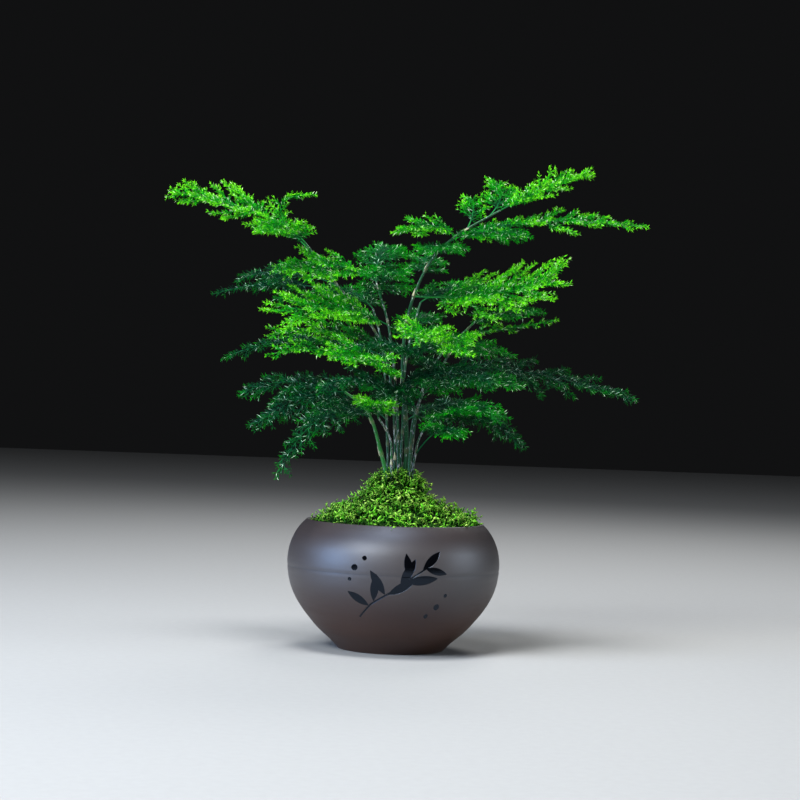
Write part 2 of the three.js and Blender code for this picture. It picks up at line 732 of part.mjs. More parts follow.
// A whorl: needles drawn out from four of the six faces of a short band, those that meet nothing else.
function growWhorl(growth, band, along, frond, twig, turn) {
  band.forEach((face, i) => {
    const skipped = (i + turn) % 3 === 0;
    const root = growth.centreOf(face);
    const [p, q, r] = face.map((v) => growth.points[v]);
    const normal = q.clone().sub(p).cross(r.clone().sub(p)).normalize();
    normal.addScaledVector(along, -normal.dot(along)).normalize();
    const direction = normal
      .multiplyScalar(Math.cos(NEEDLE_LEAN))
      .addScaledVector(along, Math.sin(NEEDLE_LEAN));
    const length = frond.needle * (1 + 0.14 * wobble(frond.seed * 9 + turn, i));
    const tip = root.clone().addScaledVector(direction, length);
    const mayTouch = (other) => other.frond === frond.name && other.twig === twig;
    if (skipped || !isClear(root, tip, NEEDLE_RADIUS, mayTouch)) return growth.flat(face);
    enter(root, tip, NEEDLE_RADIUS, frond.name, twig);
    growth.drawOut(face, tip);
  });
}

function growTwig(growth, foot, frond, twig) {
  const whorls = Math.max(1, Math.round(twig.length / WHORL_PITCH - 0.3));
  let ring = foot;
  for (let k = 1; k <= whorls; k++) {
    const middle = (twig.length * (k - 0.15)) / (whorls + 0.25);
    const radius = TWIG_RADIUS * (1 - (0.15 * k) / whorls);
    for (const distance of [middle - NODE_LENGTH / 2, middle + NODE_LENGTH / 2]) {
      const centre = twig.pointAt(distance);
      const along = twig.pointAt(distance + 0.5).sub(twig.pointAt(distance - 0.5)).normalize();
      const next = growth.nextRing(ring, centre, along, radius);
      const band = growth.band(ring, next);
      if (distance < middle) growth.flat(...band);
      else growWhorl(growth, band, along, frond, twig.id, k + twig.id);
      ring = next;
    }
  }
  growth.drawOut(ring, twig.pointAt(twig.length));
}

function makeFrond(frond) {
  const growth = new Growth();
  const length = frond.rib.getLength();
  const start = ribFrame(frond, 0);
  let ring = growth.firstRing(frond.rib.getPointAt(0), start.side, start.up, RIB_RADIUS);
  growth.flat([...ring].reverse());
  const stops = [];
  for (let pair = 0; pair < frond.pairs; pair++) {
    const share = frond.bare + ((0.93 - frond.bare) * pair) / frond.pairs;
    stops.push({ share, twigs: frond.twigs.filter((twig) => twig.pair === pair), pair });
  }
  const tail = stops.at(-1).share;
  stops.push({ share: tail + (1 - tail) * 0.55, twigs: [], pair: frond.pairs });
  for (const { share, twigs, pair } of stops) {
    const radius = THREE.MathUtils.lerp(RIB_RADIUS, TWIG_RADIUS, share);
    const { along } = ribFrame(frond, share);
    const half = NODE_LENGTH / 2 / length;
    const low = growth.nextRing(ring, frond.rib.getPointAt(share - half), along, radius);
    growth.flat(...growth.band(ring, low));
    const high = growth.nextRing(low, frond.rib.getPointAt(share + half), along, radius);
    const band = growth.band(low, high);
    const { side } = ribFrame(frond, share);
    const facing = (hand) => {
      const middle = frond.rib.getPointAt(share);
      const outwards = band.map((face) => growth.centreOf(face).sub(middle).dot(side) * hand);
      return band[outwards.indexOf(Math.max(...outwards))];
    };
    const feet = twigs.map((twig) => facing(twig.hand));
    growWhorl(growth, band.filter((face) => !feet.includes(face)), along, frond, "rib", pair + 1);
    twigs.forEach((twig, i) => growTwig(growth, feet[i], frond, twig));
    ring = high;
  }
  growth.drawOut(ring, frond.rib.getPointAt(1));
  return growth.geometry();
}

// Finishes.
const clay = new THREE.MeshStandardMaterial({ color: 0x4a4147, roughness: 0.62 });
const mesh = new THREE.MeshStandardMaterial({ color: 0x1d1f1d, roughness: 0.7 });
const soil = new THREE.MeshStandardMaterial({ color: 0x2b1d12, roughness: 0.95 });
const root = new THREE.MeshStandardMaterial({ color: 0x6b5a3c, roughness: 0.9 });
const moss = new THREE.MeshStandardMaterial({ color: 0x5f9a1c, roughness: 0.8 });
const cane = new THREE.MeshStandardMaterial({ color: 0x1f5a36, roughness: 0.5 });
const leafOfAge = {
  new: new THREE.MeshStandardMaterial({ color: 0x5fc814, roughness: 0.6 }),
  young: new THREE.MeshStandardMaterial({ color: 0x2fa018, roughness: 0.6 }),
  grown: new THREE.MeshStandardMaterial({ color: 0x14701f, roughness: 0.55 }),
  old: new THREE.MeshStandardMaterial({ color: 0x07432c, roughness: 0.5 }),
};

const plant = new THREE.Group();
function place(name, geometry, material) {
  const piece = new THREE.Mesh(geometry, material);
  piece.name = name;
  plant.add(piece);
}

place("bowl", makeBowl(), clay);
place("drain_mesh", makeDrainMesh(), mesh);
place("soil", makeSoil(), soil);
place("rootstock", makeRootstock(), root);
place("moss", makeMoss(), moss);
for (const [name, route] of Object.entries(CANES)) place(name, makeCane(route), cane);
for (const [name, frond] of Object.entries(FRONDS)) {
  place("frond_" + name, makeFrond(frond), leafOfAge[frond.age]);
}

export default plant;
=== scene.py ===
# %% [markdown]
# # Dressing a potted lace fern
#
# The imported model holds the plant's bones: a clay bowl, its filling, the canes, and each frond's rib with
# its side twigs and some of its needles. This script loads them as a frame, and grows the finer plant on
# the same bones: tens of thousands of needles, jointed canes, curly moss and a thrown bowl. The meshes are
# in metres. The tables, and what is worked out along them, are in millimetres, and the tables of canes and
# fronds are the ones that the solids were made from.

# %% Load the frame
import json
import math

import bmesh
import bpy
import numpy as np
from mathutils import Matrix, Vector

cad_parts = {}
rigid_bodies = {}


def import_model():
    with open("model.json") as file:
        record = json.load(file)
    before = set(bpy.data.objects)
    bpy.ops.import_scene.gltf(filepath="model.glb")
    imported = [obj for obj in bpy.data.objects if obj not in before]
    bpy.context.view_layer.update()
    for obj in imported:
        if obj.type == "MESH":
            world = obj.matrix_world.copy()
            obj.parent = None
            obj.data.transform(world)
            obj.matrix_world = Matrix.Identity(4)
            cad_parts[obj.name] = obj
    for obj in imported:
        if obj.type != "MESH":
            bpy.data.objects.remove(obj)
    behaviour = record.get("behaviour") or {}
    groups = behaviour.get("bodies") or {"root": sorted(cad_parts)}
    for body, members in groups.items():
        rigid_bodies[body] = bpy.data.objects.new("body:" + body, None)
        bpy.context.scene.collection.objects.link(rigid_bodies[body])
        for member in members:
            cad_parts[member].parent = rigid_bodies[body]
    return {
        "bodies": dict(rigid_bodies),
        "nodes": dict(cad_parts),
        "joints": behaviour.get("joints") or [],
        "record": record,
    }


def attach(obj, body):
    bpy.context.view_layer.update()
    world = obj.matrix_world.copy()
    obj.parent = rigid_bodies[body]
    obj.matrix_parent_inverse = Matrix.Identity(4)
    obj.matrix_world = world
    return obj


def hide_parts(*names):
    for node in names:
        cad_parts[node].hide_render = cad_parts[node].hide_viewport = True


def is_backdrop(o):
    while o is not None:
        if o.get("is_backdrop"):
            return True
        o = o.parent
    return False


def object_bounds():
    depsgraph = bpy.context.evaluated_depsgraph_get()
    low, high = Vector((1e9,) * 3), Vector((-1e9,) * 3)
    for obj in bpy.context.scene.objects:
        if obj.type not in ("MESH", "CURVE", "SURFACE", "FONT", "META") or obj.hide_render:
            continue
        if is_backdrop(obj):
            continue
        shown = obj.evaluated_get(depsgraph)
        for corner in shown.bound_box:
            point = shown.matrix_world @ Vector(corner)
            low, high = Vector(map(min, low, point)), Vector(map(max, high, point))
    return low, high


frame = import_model()
cad_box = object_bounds()
MM = 0.001
print("nodes in the frame:", len(frame["nodes"]))

# %% [markdown]
# ## The camera
#
# The plant is seen level, from about a metre away, with a long lens that covers 40 cm at the bowl. The
# picture was taken with the camera turned two degrees, so this one is turned as well.

# %% Place the camera
VIEW_DISTANCE = 1000 * MM
VIEW_SPAN = 400 * MM
VIEW_HEIGHT = 124.1 * MM
VIEW_ROLL = math.radians(2.07)

camera_data = bpy.data.cameras.new("camera")
camera_data.sensor_width = 36
camera_data.lens = camera_data.sensor_width * VIEW_DISTANCE / VIEW_SPAN
camera = bpy.data.objects.new("camera", camera_data)
camera.location = (0.4 * MM, -VIEW_DISTANCE, VIEW_HEIGHT)
camera.rotation_euler = (math.radians(90), -VIEW_ROLL, 0)
bpy.context.collection.objects.link(camera)
bpy.context.scene.camera = camera
print("lens:", round(camera_data.lens, 1), "mm")

# %% [markdown]
# ## Arithmetic on node sockets
#
# Both the materials and the Geometry Nodes trees below need sums. Wiring Math nodes by hand hides what is
# worked out, so a small class wraps a socket, and each Python operator on it adds one Math node. Everything
# else goes through one method, which makes a node, sets its settings first and then its sockets.


# %% A wire, and the net that it belongs to
class Wire:
    """One output of a node. Arithmetic on it adds Math nodes to its net."""

    def __init__(self, net, socket):
        self.net = net
        self.socket = socket

    def math(self, operation, *others):
        return self.net.node("ShaderNodeMath", {"operation": operation}, dict(enumerate((self, *others))))

    def output(self, name):
        return Wire(self.net, self.socket.node.outputs[name])

    def __add__(self, other):
        return self.math("ADD", other)

    def __mul__(self, other):
        return self.math("MULTIPLY", other)

    def __sub__(self, other):
        return self.math("SUBTRACT", other)

    def __rsub__(self, other):
        return self.net.node("ShaderNodeMath", {"operation": "SUBTRACT"}, {0: other, 1: self})

    def __neg__(self):
        return self.math("MULTIPLY", -1)

    def __abs__(self):
        return self.math("ABSOLUTE")

    __radd__ = __add__
    __rmul__ = __mul__


class Net:
    """A node tree that is written as Python."""

    def __init__(self, tree):
        self.tree = tree

    def node(self, kind, settings=None, sockets=None, output=0):
        made = self.tree.nodes.new(kind)
        for name, value in (settings or {}).items():
            if name == "stops":
                self.set_stops(made.color_ramp, value)
            else:
                setattr(made, name, value)
        for key, value in (sockets or {}).items():
            for one in value if isinstance(value, list) else [value]:
                if isinstance(one, Wire):
                    self.tree.links.new(one.socket, made.inputs[key])
                else:
                    made.inputs[key].default_value = one
        return Wire(self, made.outputs[output]) if made.outputs else made

    @staticmethod
    def set_stops(ramp, stops):
        while len(ramp.elements) < len(stops):
            ramp.elements.new(1.0)
        for element, (position, colour) in zip(ramp.elements, stops):
            element.position = position
            element.color = (*colour, 1)

    def mix(self, factor, first, second):
        """A blend of two colours."""
        first, second = ((*c, 1) if isinstance(c, tuple) else c for c in (first, second))
        sockets = {0: factor, 6: first, 7: second}
        return self.node("ShaderNodeMix", {"data_type": "RGBA"}, sockets, output=2)

    def between(self, value, low, high):
        """0 below low, 1 above high, and smooth in between."""
        sockets = {"Value": value, "From Min": low, "From Max": high}
        return self.node("ShaderNodeMapRange", {"interpolation_type": "SMOOTHSTEP"}, sockets)


# %% [markdown]
# ## A finish
#
# Every finish is one Principled surface. What is the same all over is a number on its socket, and what
# changes over the piece comes in through the base colour, the roughness and a bump. Patterns read Object
# coordinates, which are the piece's own metres, so a grain keeps its size on every piece.


# %% Start a finish
def new_finish(name, **constants):
    """A material, its net and its Principled surface, with those sockets set."""
    material = bpy.data.materials.new(name)
    material.use_nodes = True
    material.node_tree.nodes.clear()
    net = Net(material.node_tree)
    sockets = {key.replace("_", " "): value for key, value in constants.items()}
    surface = net.node("ShaderNodeBsdfPrincipled", {}, sockets)
    net.node("ShaderNodeOutputMaterial", {}, {"Surface": surface})
    return material, net, surface.socket.node


def feed(net, surface, **sources):
    """Links wires to the surface's sockets."""
    for name, wire in sources.items():
        net.tree.links.new(wire.socket, surface.inputs[name.replace("_", " ")])


def own_place(net):
    return net.node("ShaderNodeTexCoord", output="Object")


def stretched(net, place, upright):
    """The place for a pattern that is drawn out along Z, or squeezed where upright is over 1."""
    return net.node("ShaderNodeMapping", {}, {"Vector": place, "Scale": (1, 1, upright)})


def noise(net, place, size, detail=2.0, roughness=0.5):
    """Smooth noise whose blobs are about that many metres across."""
    sockets = {"Vector": place, "Scale": 1 / size, "Detail": detail, "Roughness": roughness}
    return net.node("ShaderNodeTexNoise", {}, sockets)


def bump(net, height, depth, strength=1.0):
    return net.node("ShaderNodeBump", {}, {"Height": height, "Distance": depth, "Strength": strength})


# %% [markdown]
# ## The bowl
#
# It is thrown in dark clay, left unglazed and polished a little, with a full belly, a drawn-in foot and a
# plain lip. A turned shape needs only its outline: the outside is a curve through the solid's heights and a
# few more between them, the inside runs one wall thickness within it, and the foot ring and drain hole
# close the outline. The outline is then swept round the axis in many steps, because the bowl's outline is
# in plain view.

# %% The bowl's sizes
BOWL_RADIUS = 53 * MM
BOWL_HEIGHT = 64 * MM
BELLY_HEIGHT = 0.64 * BOWL_HEIGHT
MOUTH_RADIUS = 44 * MM
FOOT_RADIUS = 26.5 * MM
FOOT_WIDTH = 4 * MM
FOOT_DEPTH = 1.6 * MM
FLOOR_TOP = 6.6 * MM
WALL = 3.8 * MM
DRAIN_RADIUS = 6 * MM
BOWL_SIDES = 144

BOWL_CURVE = [
    (FOOT_RADIUS, 0),
    (0.573 * BOWL_RADIUS, 4 * MM),
    (0.693 * BOWL_RADIUS, 9.5 * MM),
    (0.785 * BOWL_RADIUS, 15 * MM),
    (0.872 * BOWL_RADIUS, 21 * MM),
    (0.937 * BOWL_RADIUS, 27 * MM),
    (0.979 * BOWL_RADIUS, 33.5 * MM),
    (BOWL_RADIUS, BELLY_HEIGHT),
    (0.994 * BOWL_RADIUS, 47 * MM),
    (0.973 * BOWL_RADIUS, 52 * MM),
    (0.936 * BOWL_RADIUS, 56.5 * MM),
    (MOUTH_RADIUS + 3 * MM, BOWL_HEIGHT - 3.6 * MM),
    (MOUTH_RADIUS, BOWL_HEIGHT - 0.5 * MM),
]


# %% Follow the bowl's wall
def cubic_terms(start, end, leave, arrive):
    """The cubed and squared terms of a curve between two points, with its rates at both."""
    return 2 * start - 2 * end + leave + arrive, 3 * end - 3 * start - 2 * leave - arrive


def bowl_wall(inset, steps=64):
    """Points on the curve through BOWL_CURVE, moved into the wall by inset."""
    knots = np.array([BOWL_CURVE[0], *BOWL_CURVE, BOWL_CURVE[-1]])
    line = []
    for t in np.linspace(0, len(BOWL_CURVE) - 1, steps):
        i = min(int(t), len(BOWL_CURVE) - 2)
        a, b, c, d = knots[i : i + 4]
        u = t - i
        leave, arrive = (c - a) / 2, (d - b) / 2
        cubed, squared = cubic_terms(b, c, leave, arrive)
        at = cubed * u**3 + squared * u**2 + leave * u + b
        along = 3 * cubed * u**2 + 2 * squared * u + leave
        along /= np.linalg.norm(along)
        line.append((at[0] - along[1] * inset, at[1] + along[0] * inset))
    return line


def wall_radius(inset, height):
    line = bowl_wall(inset)
    return float(np.interp(height, [z for _, z in line], [r for r, _ in line]))


print("inner radius at the rim:", round(wall_radius(WALL, BOWL_HEIGHT - 2 * MM) / MM, 1), "mm")


# %% Sweep an outline round the axis
def turned_mesh(name, outline, sides):
    """A closed solid turned from a closed outline of (radius, height) points, which may touch the axis."""
    angles = np.arange(sides) * math.tau / sides
    points = [(r * math.cos(a), r * math.sin(a), z) for r, z in outline for a in angles]
    faces = []
    for k in range(len(outline)):
        low, high = k * sides, (k + 1) % len(outline) * sides
        faces += [(low + i, low + (i + 1) % sides, high + (i + 1) % sides, high + i) for i in range(sides)]
    mesh = bpy.data.meshes.new(name)
    mesh.from_pydata(points, [], faces)
    poles = bmesh.new()
    poles.from_mesh(mesh)
    bmesh.ops.remove_doubles(poles, verts=poles.verts, dist=0.001 * MM)
    poles.to_mesh(mesh)
    poles.free()
    mesh.shade_smooth()
    return mesh


def new_piece(name, mesh, slot, *nodes):
    """A piece of the object, which stands for those nodes of the frame."""
    piece = bpy.data.objects.new(name, mesh)
    bpy.context.collection.objects.link(piece)
    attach(piece, "root")
    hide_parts(*nodes)
    mesh.calc_loop_triangles()
    print(piece.name, "triangles:", len(mesh.loop_triangles))
    return piece


# %% Make the bowl
SEAM_HEIGHT = 40.5 * MM
SEAM_DEPTH = 0.16 * MM
SEAM_WIDTH = 0.45 * MM
RING_DEPTH = 0.02 * MM
CALM_ENDS = 6 * MM
LIP_RISE = 0.9 * MM
ROUNDING = 0.4 * MM
RING_PITCHES = (2.3 * MM, 0.9 * MM)
WITHIN_SOLID = 0.05 * MM


def thrown(line):
    """The outside, with the faint rings that fingers leave and the groove where its halves were joined."""
    rings = []
    for r, z in line:
        coarse, fine = (z / pitch for pitch in RING_PITCHES)
        ripple = RING_DEPTH * (math.sin(coarse) + 0.5 * math.sin(fine + 1))
        groove = SEAM_DEPTH * math.exp(-(((z - SEAM_HEIGHT) / SEAM_WIDTH) ** 2))
        fade = min(1, z / CALM_ENDS, (BOWL_HEIGHT - z) / CALM_ENDS)
        rings.append((r + (ripple - groove) * max(0, fade) - WITHIN_SOLID, z))
    return rings


outside = thrown(bowl_wall(0, 84))
inside = [(r, z) for r, z in bowl_wall(WALL, 36) if FLOOR_TOP + 1 * MM < z < BOWL_HEIGHT - 1.4 * MM][::-1]
lip_out, lip_in = outside[-1], inside[0]
lip = [
    (
        lip_out[0] + (lip_in[0] - lip_out[0]) * t,
        lip_out[1] + (lip_in[1] - lip_out[1]) * t + LIP_RISE * math.sin(math.pi * t),
    )
    for t in (0.12, 0.3, 0.5, 0.7, 0.88)
]
bowl_outline = [
    *outside,
    *lip,
    *inside,
    (inside[-1][0] - 5 * MM, FLOOR_TOP),
    (DRAIN_RADIUS + ROUNDING, FLOOR_TOP),
    (DRAIN_RADIUS, FLOOR_TOP - ROUNDING),
    (DRAIN_RADIUS, FOOT_DEPTH + ROUNDING),
    (DRAIN_RADIUS + ROUNDING, FOOT_DEPTH),
    (FOOT_RADIUS - FOOT_WIDTH - FOOT_DEPTH, FOOT_DEPTH),
    (FOOT_RADIUS - FOOT_WIDTH, 0),
    (FOOT_RADIUS - 0.6 * MM, 0),
]
bowl = new_piece("clay_bowl", turned_mesh("clay_bowl", bowl_outline, BOWL_SIDES), "bowl", "bowl")

# %% [markdown]
# ## Clay with a glazed sprig
#
# The clay is a brownish purple black with a very fine grain. Towards its foot it is browner, which is painted
# warm reflected light. Its belly has been burnished, which gives it a soft bluish sheen. Here a rough clear
# coat makes the sheen, and fades out towards the rim and the foot. The front carries a small sprig in black
# glaze: a bent stem with slender leaves and a few dots. It is worked out as distances, so it stays sharp at
# any size. A leaf is where the distance across it is less than its half width, which shrinks towards both
# ends.

# %% Lay out the sprig
# Each leaf: where it is rooted along the front and up it, its direction in degrees, length and half width.
LEAVES = [
    (-11.3, 25.7, 148, 12.5, 2),
    (-9, 27.9, 84, 13.7, 2.1),
    (-2.1, 31.4, 30, 14.8, 2.2),
    (-3.3, 31.4, 122, 13.7, 2.1),
    (3.6, 35.9, 62, 14.8, 2.2),
    (5.8, 37.6, 8, 16, 2.3),
    (8.1, 39.3, 100, 12.5, 2),
    (13.8, 43.9, 44, 12.5, 2),
    (15, 44.5, -14, 11.4, 1.8),
]
# Each dot: its place along the front and up it, and its radius.
DOTS = [
    (-18.1, 43.9, 1.6),
    (-13.5, 48.5, 1.2),
    (-20.4, 38.2, 1),
    (22.9, 25.7, 1.6),
    (18.4, 21.1, 1.2),
    (26.4, 31.4, 1),
]
STEM = [(-17, 20), (-10.1, 26.8), (-1, 32.5), (8.1, 39.3), (16.1, 45)]
STEM_HALF_WIDTH = 0.5
GLAZE_EDGE = 0.16 * MM
BOWL_MIDDLE_RADIUS = 51 * MM


def glazed(net, depth):
    """1 where a place lies that deep inside the glaze's edge, and 0 outside it."""
    return net.between(depth, 0.0, GLAZE_EDGE)


def lined_up(along, up, root, direction):
    """How far a place lies from the root along a direction, and how far beside it."""
    c, s = direction
    dx = along - root[0] * MM
    dz = up - root[1] * MM
    return dx * c + dz * s, dz * c - dx * s


def leaf_mask(net, along, up, root_along, root_up, turn, length, half_width):
    direction = (math.cos(math.radians(turn)), math.sin(math.radians(turn)))
    ahead, beside = lined_up(along, up, (root_along, root_up), direction)
    u = ahead * (2 / (length * MM)) - 1
    return glazed(net, (1 - u * u) * (half_width * MM) - abs(beside))


def dot_mask(net, along, up, dot_along, dot_up, radius):
    dx = along - dot_along * MM
    dz = up - dot_up * MM
    return glazed(net, radius * MM - (dx * dx + dz * dz).math("SQRT"))


def stem_mask(net, along, up, start, end):
    """A straight stretch of the stem, as wide across as it reaches past its ends."""
    length = math.dist(start, end)
    direction = ((end[0] - start[0]) / length, (end[1] - start[1]) / length)
    ahead, beside = lined_up(along, up, start, direction)
    past = abs(ahead - length / 2 * MM) - length / 2 * MM
    return glazed(net, STEM_HALF_WIDTH * MM - abs(beside).math("MAXIMUM", past))


# %% Draw the sprig round the bowl
GLAZED_BEYOND = (36 * MM, 37 * MM)

clay, net, surface = new_finish(
    "polished_dark_clay",
    Specular_IOR_Level=0.42,
    Specular_Tint=(0.55, 0.72, 1.0, 1),
    Coat_IOR=1.9,
    Coat_Roughness=0.5,
)
place = own_place(net)
split = net.node("ShaderNodeSeparateXYZ", {}, {"Vector": place})
x, y, up = split, split.output("Y"), split.output("Z")
along = x.math("ARCTAN2", -y) * BOWL_MIDDLE_RADIUS
masks = [leaf_mask(net, along, up, *leaf) for leaf in LEAVES]
masks += [dot_mask(net, along, up, *dot) for dot in DOTS]
masks += [stem_mask(net, along, up, start, end) for start, end in zip(STEM, STEM[1:])]
sprig = masks[0]
for mask in masks[1:]:
    sprig = sprig.math("MAXIMUM", mask)
sprig = sprig * net.between((x * x + y * y).math("SQRT"), *GLAZED_BEYOND)
print("leaves, dots and stretches of stem:", len(masks))

# %% Finish the clay
PAINTED_WARM_BOUNCE = (SEAM_HEIGHT + 3 * MM, 4 * MM)
BURNISHED_FROM = (18 * MM, 42 * MM)
BURNISHED_UP_TO = (59 * MM, 50 * MM)
SEAM_SHADE = 0.6 * MM

mottle = noise(net, place, 9 * MM, 4)
grain = noise(net, place, 0.35 * MM, 3, 0.65)
wiping = noise(net, stretched(net, place, 9), 14 * MM, 3)
body = net.mix(mottle, (0.030, 0.022, 0.020), (0.039, 0.029, 0.026))
# Painted warm reflected light: the lower bowl is mixed towards brown.
body = net.mix(net.between(up, *PAINTED_WARM_BOUNCE) * 0.8, body, (0.074, 0.034, 0.018))
body = net.mix(net.between(grain, 0.62, 0.75) * 0.35, body, (0.11, 0.095, 0.095))
seam = (1 - net.between(abs(up - SEAM_HEIGHT), 0.0, SEAM_SHADE)) * 0.8
body = net.mix(seam, body, (0.022, 0.017, 0.018))
glaze = (0.0015, 0.0017, 0.0024)
polish = net.between(up, *BURNISHED_FROM) * net.between(up, *BURNISHED_UP_TO)
clay_roughness = 0.40 + wiping * 0.14 + grain * 0.06
roughness = clay_roughness + (0.12 - clay_roughness) * sprig
relief = grain * 0.25 + wiping * 0.5 - sprig * 2.2 - seam * 0.7
feed(
    net,
    surface,
    Base_Color=net.mix(sprig, body, glaze),
    Roughness=roughness,
    Coat_Weight=(1 - sprig) * polish * 0.6,
    Normal=bump(net, relief, 0.12 * MM, 0.6),
)
bowl.data.materials.append(clay)
print("nodes in the clay:", len(net.tree.nodes))

# %% [markdown]
# ## Soil, rootstock and drain mesh
#
# These three are nearly hidden, so their solids stay as they are and only get a finish: dark crumbs of
# compost, a fibrous brown rootstock and black moulded mesh. Crumbs are cells of Voronoi noise, light ones
# bark and dark ones peat.


# %% Finish the filling
def finish_node(name, material):
    mesh = frame["nodes"][name].data
    mesh.materials.clear()
    mesh.materials.append(material)


compost, net, surface = new_finish("bark_compost", Specular_IOR_Level=0.25)
place = own_place(net)
crumbs = net.node("ShaderNodeTexVoronoi", {}, {"Vector": place, "Scale": 1 / (2.2 * MM)})
tone = net.node("ShaderNodeSeparateColor", {}, {"Color": crumbs.output("Color")})
body = net.mix(tone, (0.012, 0.007, 0.004), (0.085, 0.048, 0.026))
feed(
    net,
    surface,
    Base_Color=net.mix(noise(net, place, 0.6 * MM, 3), body, (0.02, 0.012, 0.008)),
    Roughness=0.8 + tone * 0.15,
    Normal=bump(net, 1 - crumbs, 1.2 * MM),
)
finish_node("soil", compost)

fibre, net, surface = new_finish("fibrous_rootstock", Specular_IOR_Level=0.25)
place = own_place(net)
strands = noise(net, stretched(net, place, 0.25), 0.9 * MM, 5, 0.7)
feed(
    net,
    surface,
    Base_Color=net.mix(net.between(strands, 0.3, 0.7), (0.035, 0.024, 0.014), (0.22, 0.16, 0.09)),
    Roughness=0.75 + strands * 0.2,
    Normal=bump(net, strands, 0.8 * MM),
)
finish_node("rootstock", fibre)

moulded, net, surface = new_finish("moulded_mesh", Specular_IOR_Level=0.4)
speckle = noise(net, own_place(net), 0.4 * MM, 2)
feed(
    net,
    surface,
    Base_Color=net.mix(speckle, (0.010, 0.012, 0.010), (0.025, 0.028, 0.024)),
    Roughness=0.45 + speckle * 0.2,
    Normal=bump(net, speckle, 0.05 * MM),
)
finish_node("drain_mesh", moulded)
print("finished the filling")

# %% [markdown]
# ## Routes
#
# Canes and ribs are curves through a few points. The canes follow the centripetal Catmull-Rom curve of the
# solids, which never loops or overshoots between unevenly spaced points, and a rib is one bent arc. Both
# are sampled finely once, and then asked for a place or a heading at any share of their length. Their
# points stay in millimetres, like the tables, until a skeleton is made of them.


# %% A route that is asked by its share of length
def unit(vector):
    return vector / np.linalg.norm(vector)


class Route:
    def __init__(self, points):
        self.points = np.array(points, float)
        steps = np.linalg.norm(np.diff(self.points, axis=0), axis=1)
        reached = np.concatenate([[0], np.cumsum(steps)])
        self.length = reached[-1]
        self.shares = reached / self.length

    def at(self, share):
        return np.array([np.interp(share, self.shares, axis) for axis in self.points.T])

    def heading(self, share):
        return unit(self.at(min(1, share + 0.004)) - self.at(max(0, share - 0.004)))

    def share_at_height(self, height):
        return float(np.interp(height, self.points[:, 2], self.shares))


def smooth_route(knots, steps=14):
    """A centripetal Catmull-Rom curve through the knots."""
    knots = [np.array(k, float) for k in knots]
    knots = [2 * knots[0] - knots[1], *knots, 2 * knots[-1] - knots[-2]]
    points = []
    for a, b, c, d in zip(knots, knots[1:], knots[2:], knots[3:]):
        ab, bc, cd = (math.sqrt(np.linalg.norm(q - p)) for p, q in ((a, b), (b, c), (c, d)))
        leave = ((b - a) / ab - (c - a) / (ab + bc) + (c - b) / bc) * bc
        arrive = ((c - b) / bc - (d - b) / (bc + cd) + (d - c) / cd) * bc
        cubed, squared = cubic_terms(b, c, leave, arrive)
        points += [cubed * u**3 + squared * u**2 + leave * u + b for u in np.arange(steps) / steps]
    return Route([*points, knots[-2]])


def arc_route(start, over, tip, steps=40):
    u = np.linspace(0, 1, steps)[:, None]
    return Route((1 - u) ** 2 * np.array(start) + 2 * u * (1 - u) * np.array(over) + u**2 * np.array(tip))


# %% [markdown]
# ## Skeletons
#
# Everything thin on this plant, from cane to needle, hangs on a skeleton: bare edges along the middle of
# each stalk. A skeleton is easy to work out in Python, and its points carry what the tree needs to know
# there, such as how thick the stalk is. Geometry Nodes then lay the skin on it and set the repeats along
# it.


# %% Collect stalks into a skeleton mesh
class Skeleton:
    def __init__(self, *labels):
        self.points = []
        self.edges = []
        self.labels = {label: [] for label in labels}

    def stalk(self, points, **values):
        first = len(self.points)
        self.points.extend(points)
        self.edges.extend((first + i, first + i + 1) for i in range(len(points) - 1))
        for label, column in self.labels.items():
            column.extend(np.broadcast_to(values[label], len(points)))

    def mesh(self, name):
        mesh = bpy.data.meshes.new(name)
        mesh.from_pydata(np.array(self.points) * MM, self.edges, [])
        for label, column in self.labels.items():
            attribute = mesh.attributes.new(label, "FLOAT", "POINT")
            attribute.data.foreach_set("value", np.array(column, np.float32))
        return mesh


# %% Start a tree, and grow a mesh with it
def new_tree(name, **inputs):
    """A Geometry Nodes tree, as its net and the node that brings in its inputs."""
    tree = bpy.data.node_groups.new(name, "GeometryNodeTree")
    tree.interface.new_socket("Geometry", in_out="INPUT", socket_type="NodeSocketGeometry")
    tree.interface.new_socket("Geometry", in_out="OUTPUT", socket_type="NodeSocketGeometry")
    for label, value in inputs.items():
        kind = {float: "NodeSocketFloat", int: "NodeSocketInt"}[type(value)]
        socket = tree.interface.new_socket(label.replace("_", " "), in_out="INPUT", socket_type=kind)
        socket.default_value = value
    net = Net(tree)
    return net, net.node("NodeGroupInput")


def close_tree(net, parts, material):
    """Joins the parts, makes their instances real and gives them their material."""
    joined = net.node("GeometryNodeJoinGeometry", {}, {"Geometry": parts})
    real = net.node("GeometryNodeRealizeInstances", {}, {"Geometry": joined})
    finished = net.node("GeometryNodeSetMaterial", {}, {"Geometry": real, "Material": material})
    net.node("NodeGroupOutput", {}, {"Geometry": finished})


def grow(name, start, net, **inputs):
    """The plain mesh that the tree makes of a start mesh, with those inputs."""
    carrier = bpy.data.objects.new(name, start)
    bpy.context.collection.objects.link(carrier)
    modifier = carrier.modifiers.new("grow", "NODES")
    modifier.node_group = net.tree
    for socket in net.tree.interface.items_tree:
        label = socket.name.replace(" ", "_")
        if label in inputs:
            modifier[socket.identifier] = inputs[label]
    depsgraph = bpy.context.evaluated_depsgraph_get()
    mesh = bpy.data.meshes.new_from_object(
        carrier.evaluated_get(depsgraph), preserve_all_data_layers=True, depsgraph=depsgraph
    )
    mesh.name = name
    carrier.modifiers.remove(modifier)
    bpy.data.objects.remove(carrier)
    bpy.data.meshes.remove(start)
    return mesh


def attribute(net, name):
    return net.node("GeometryNodeInputNamedAttribute", {"data_type": "FLOAT"}, {"Name": name})


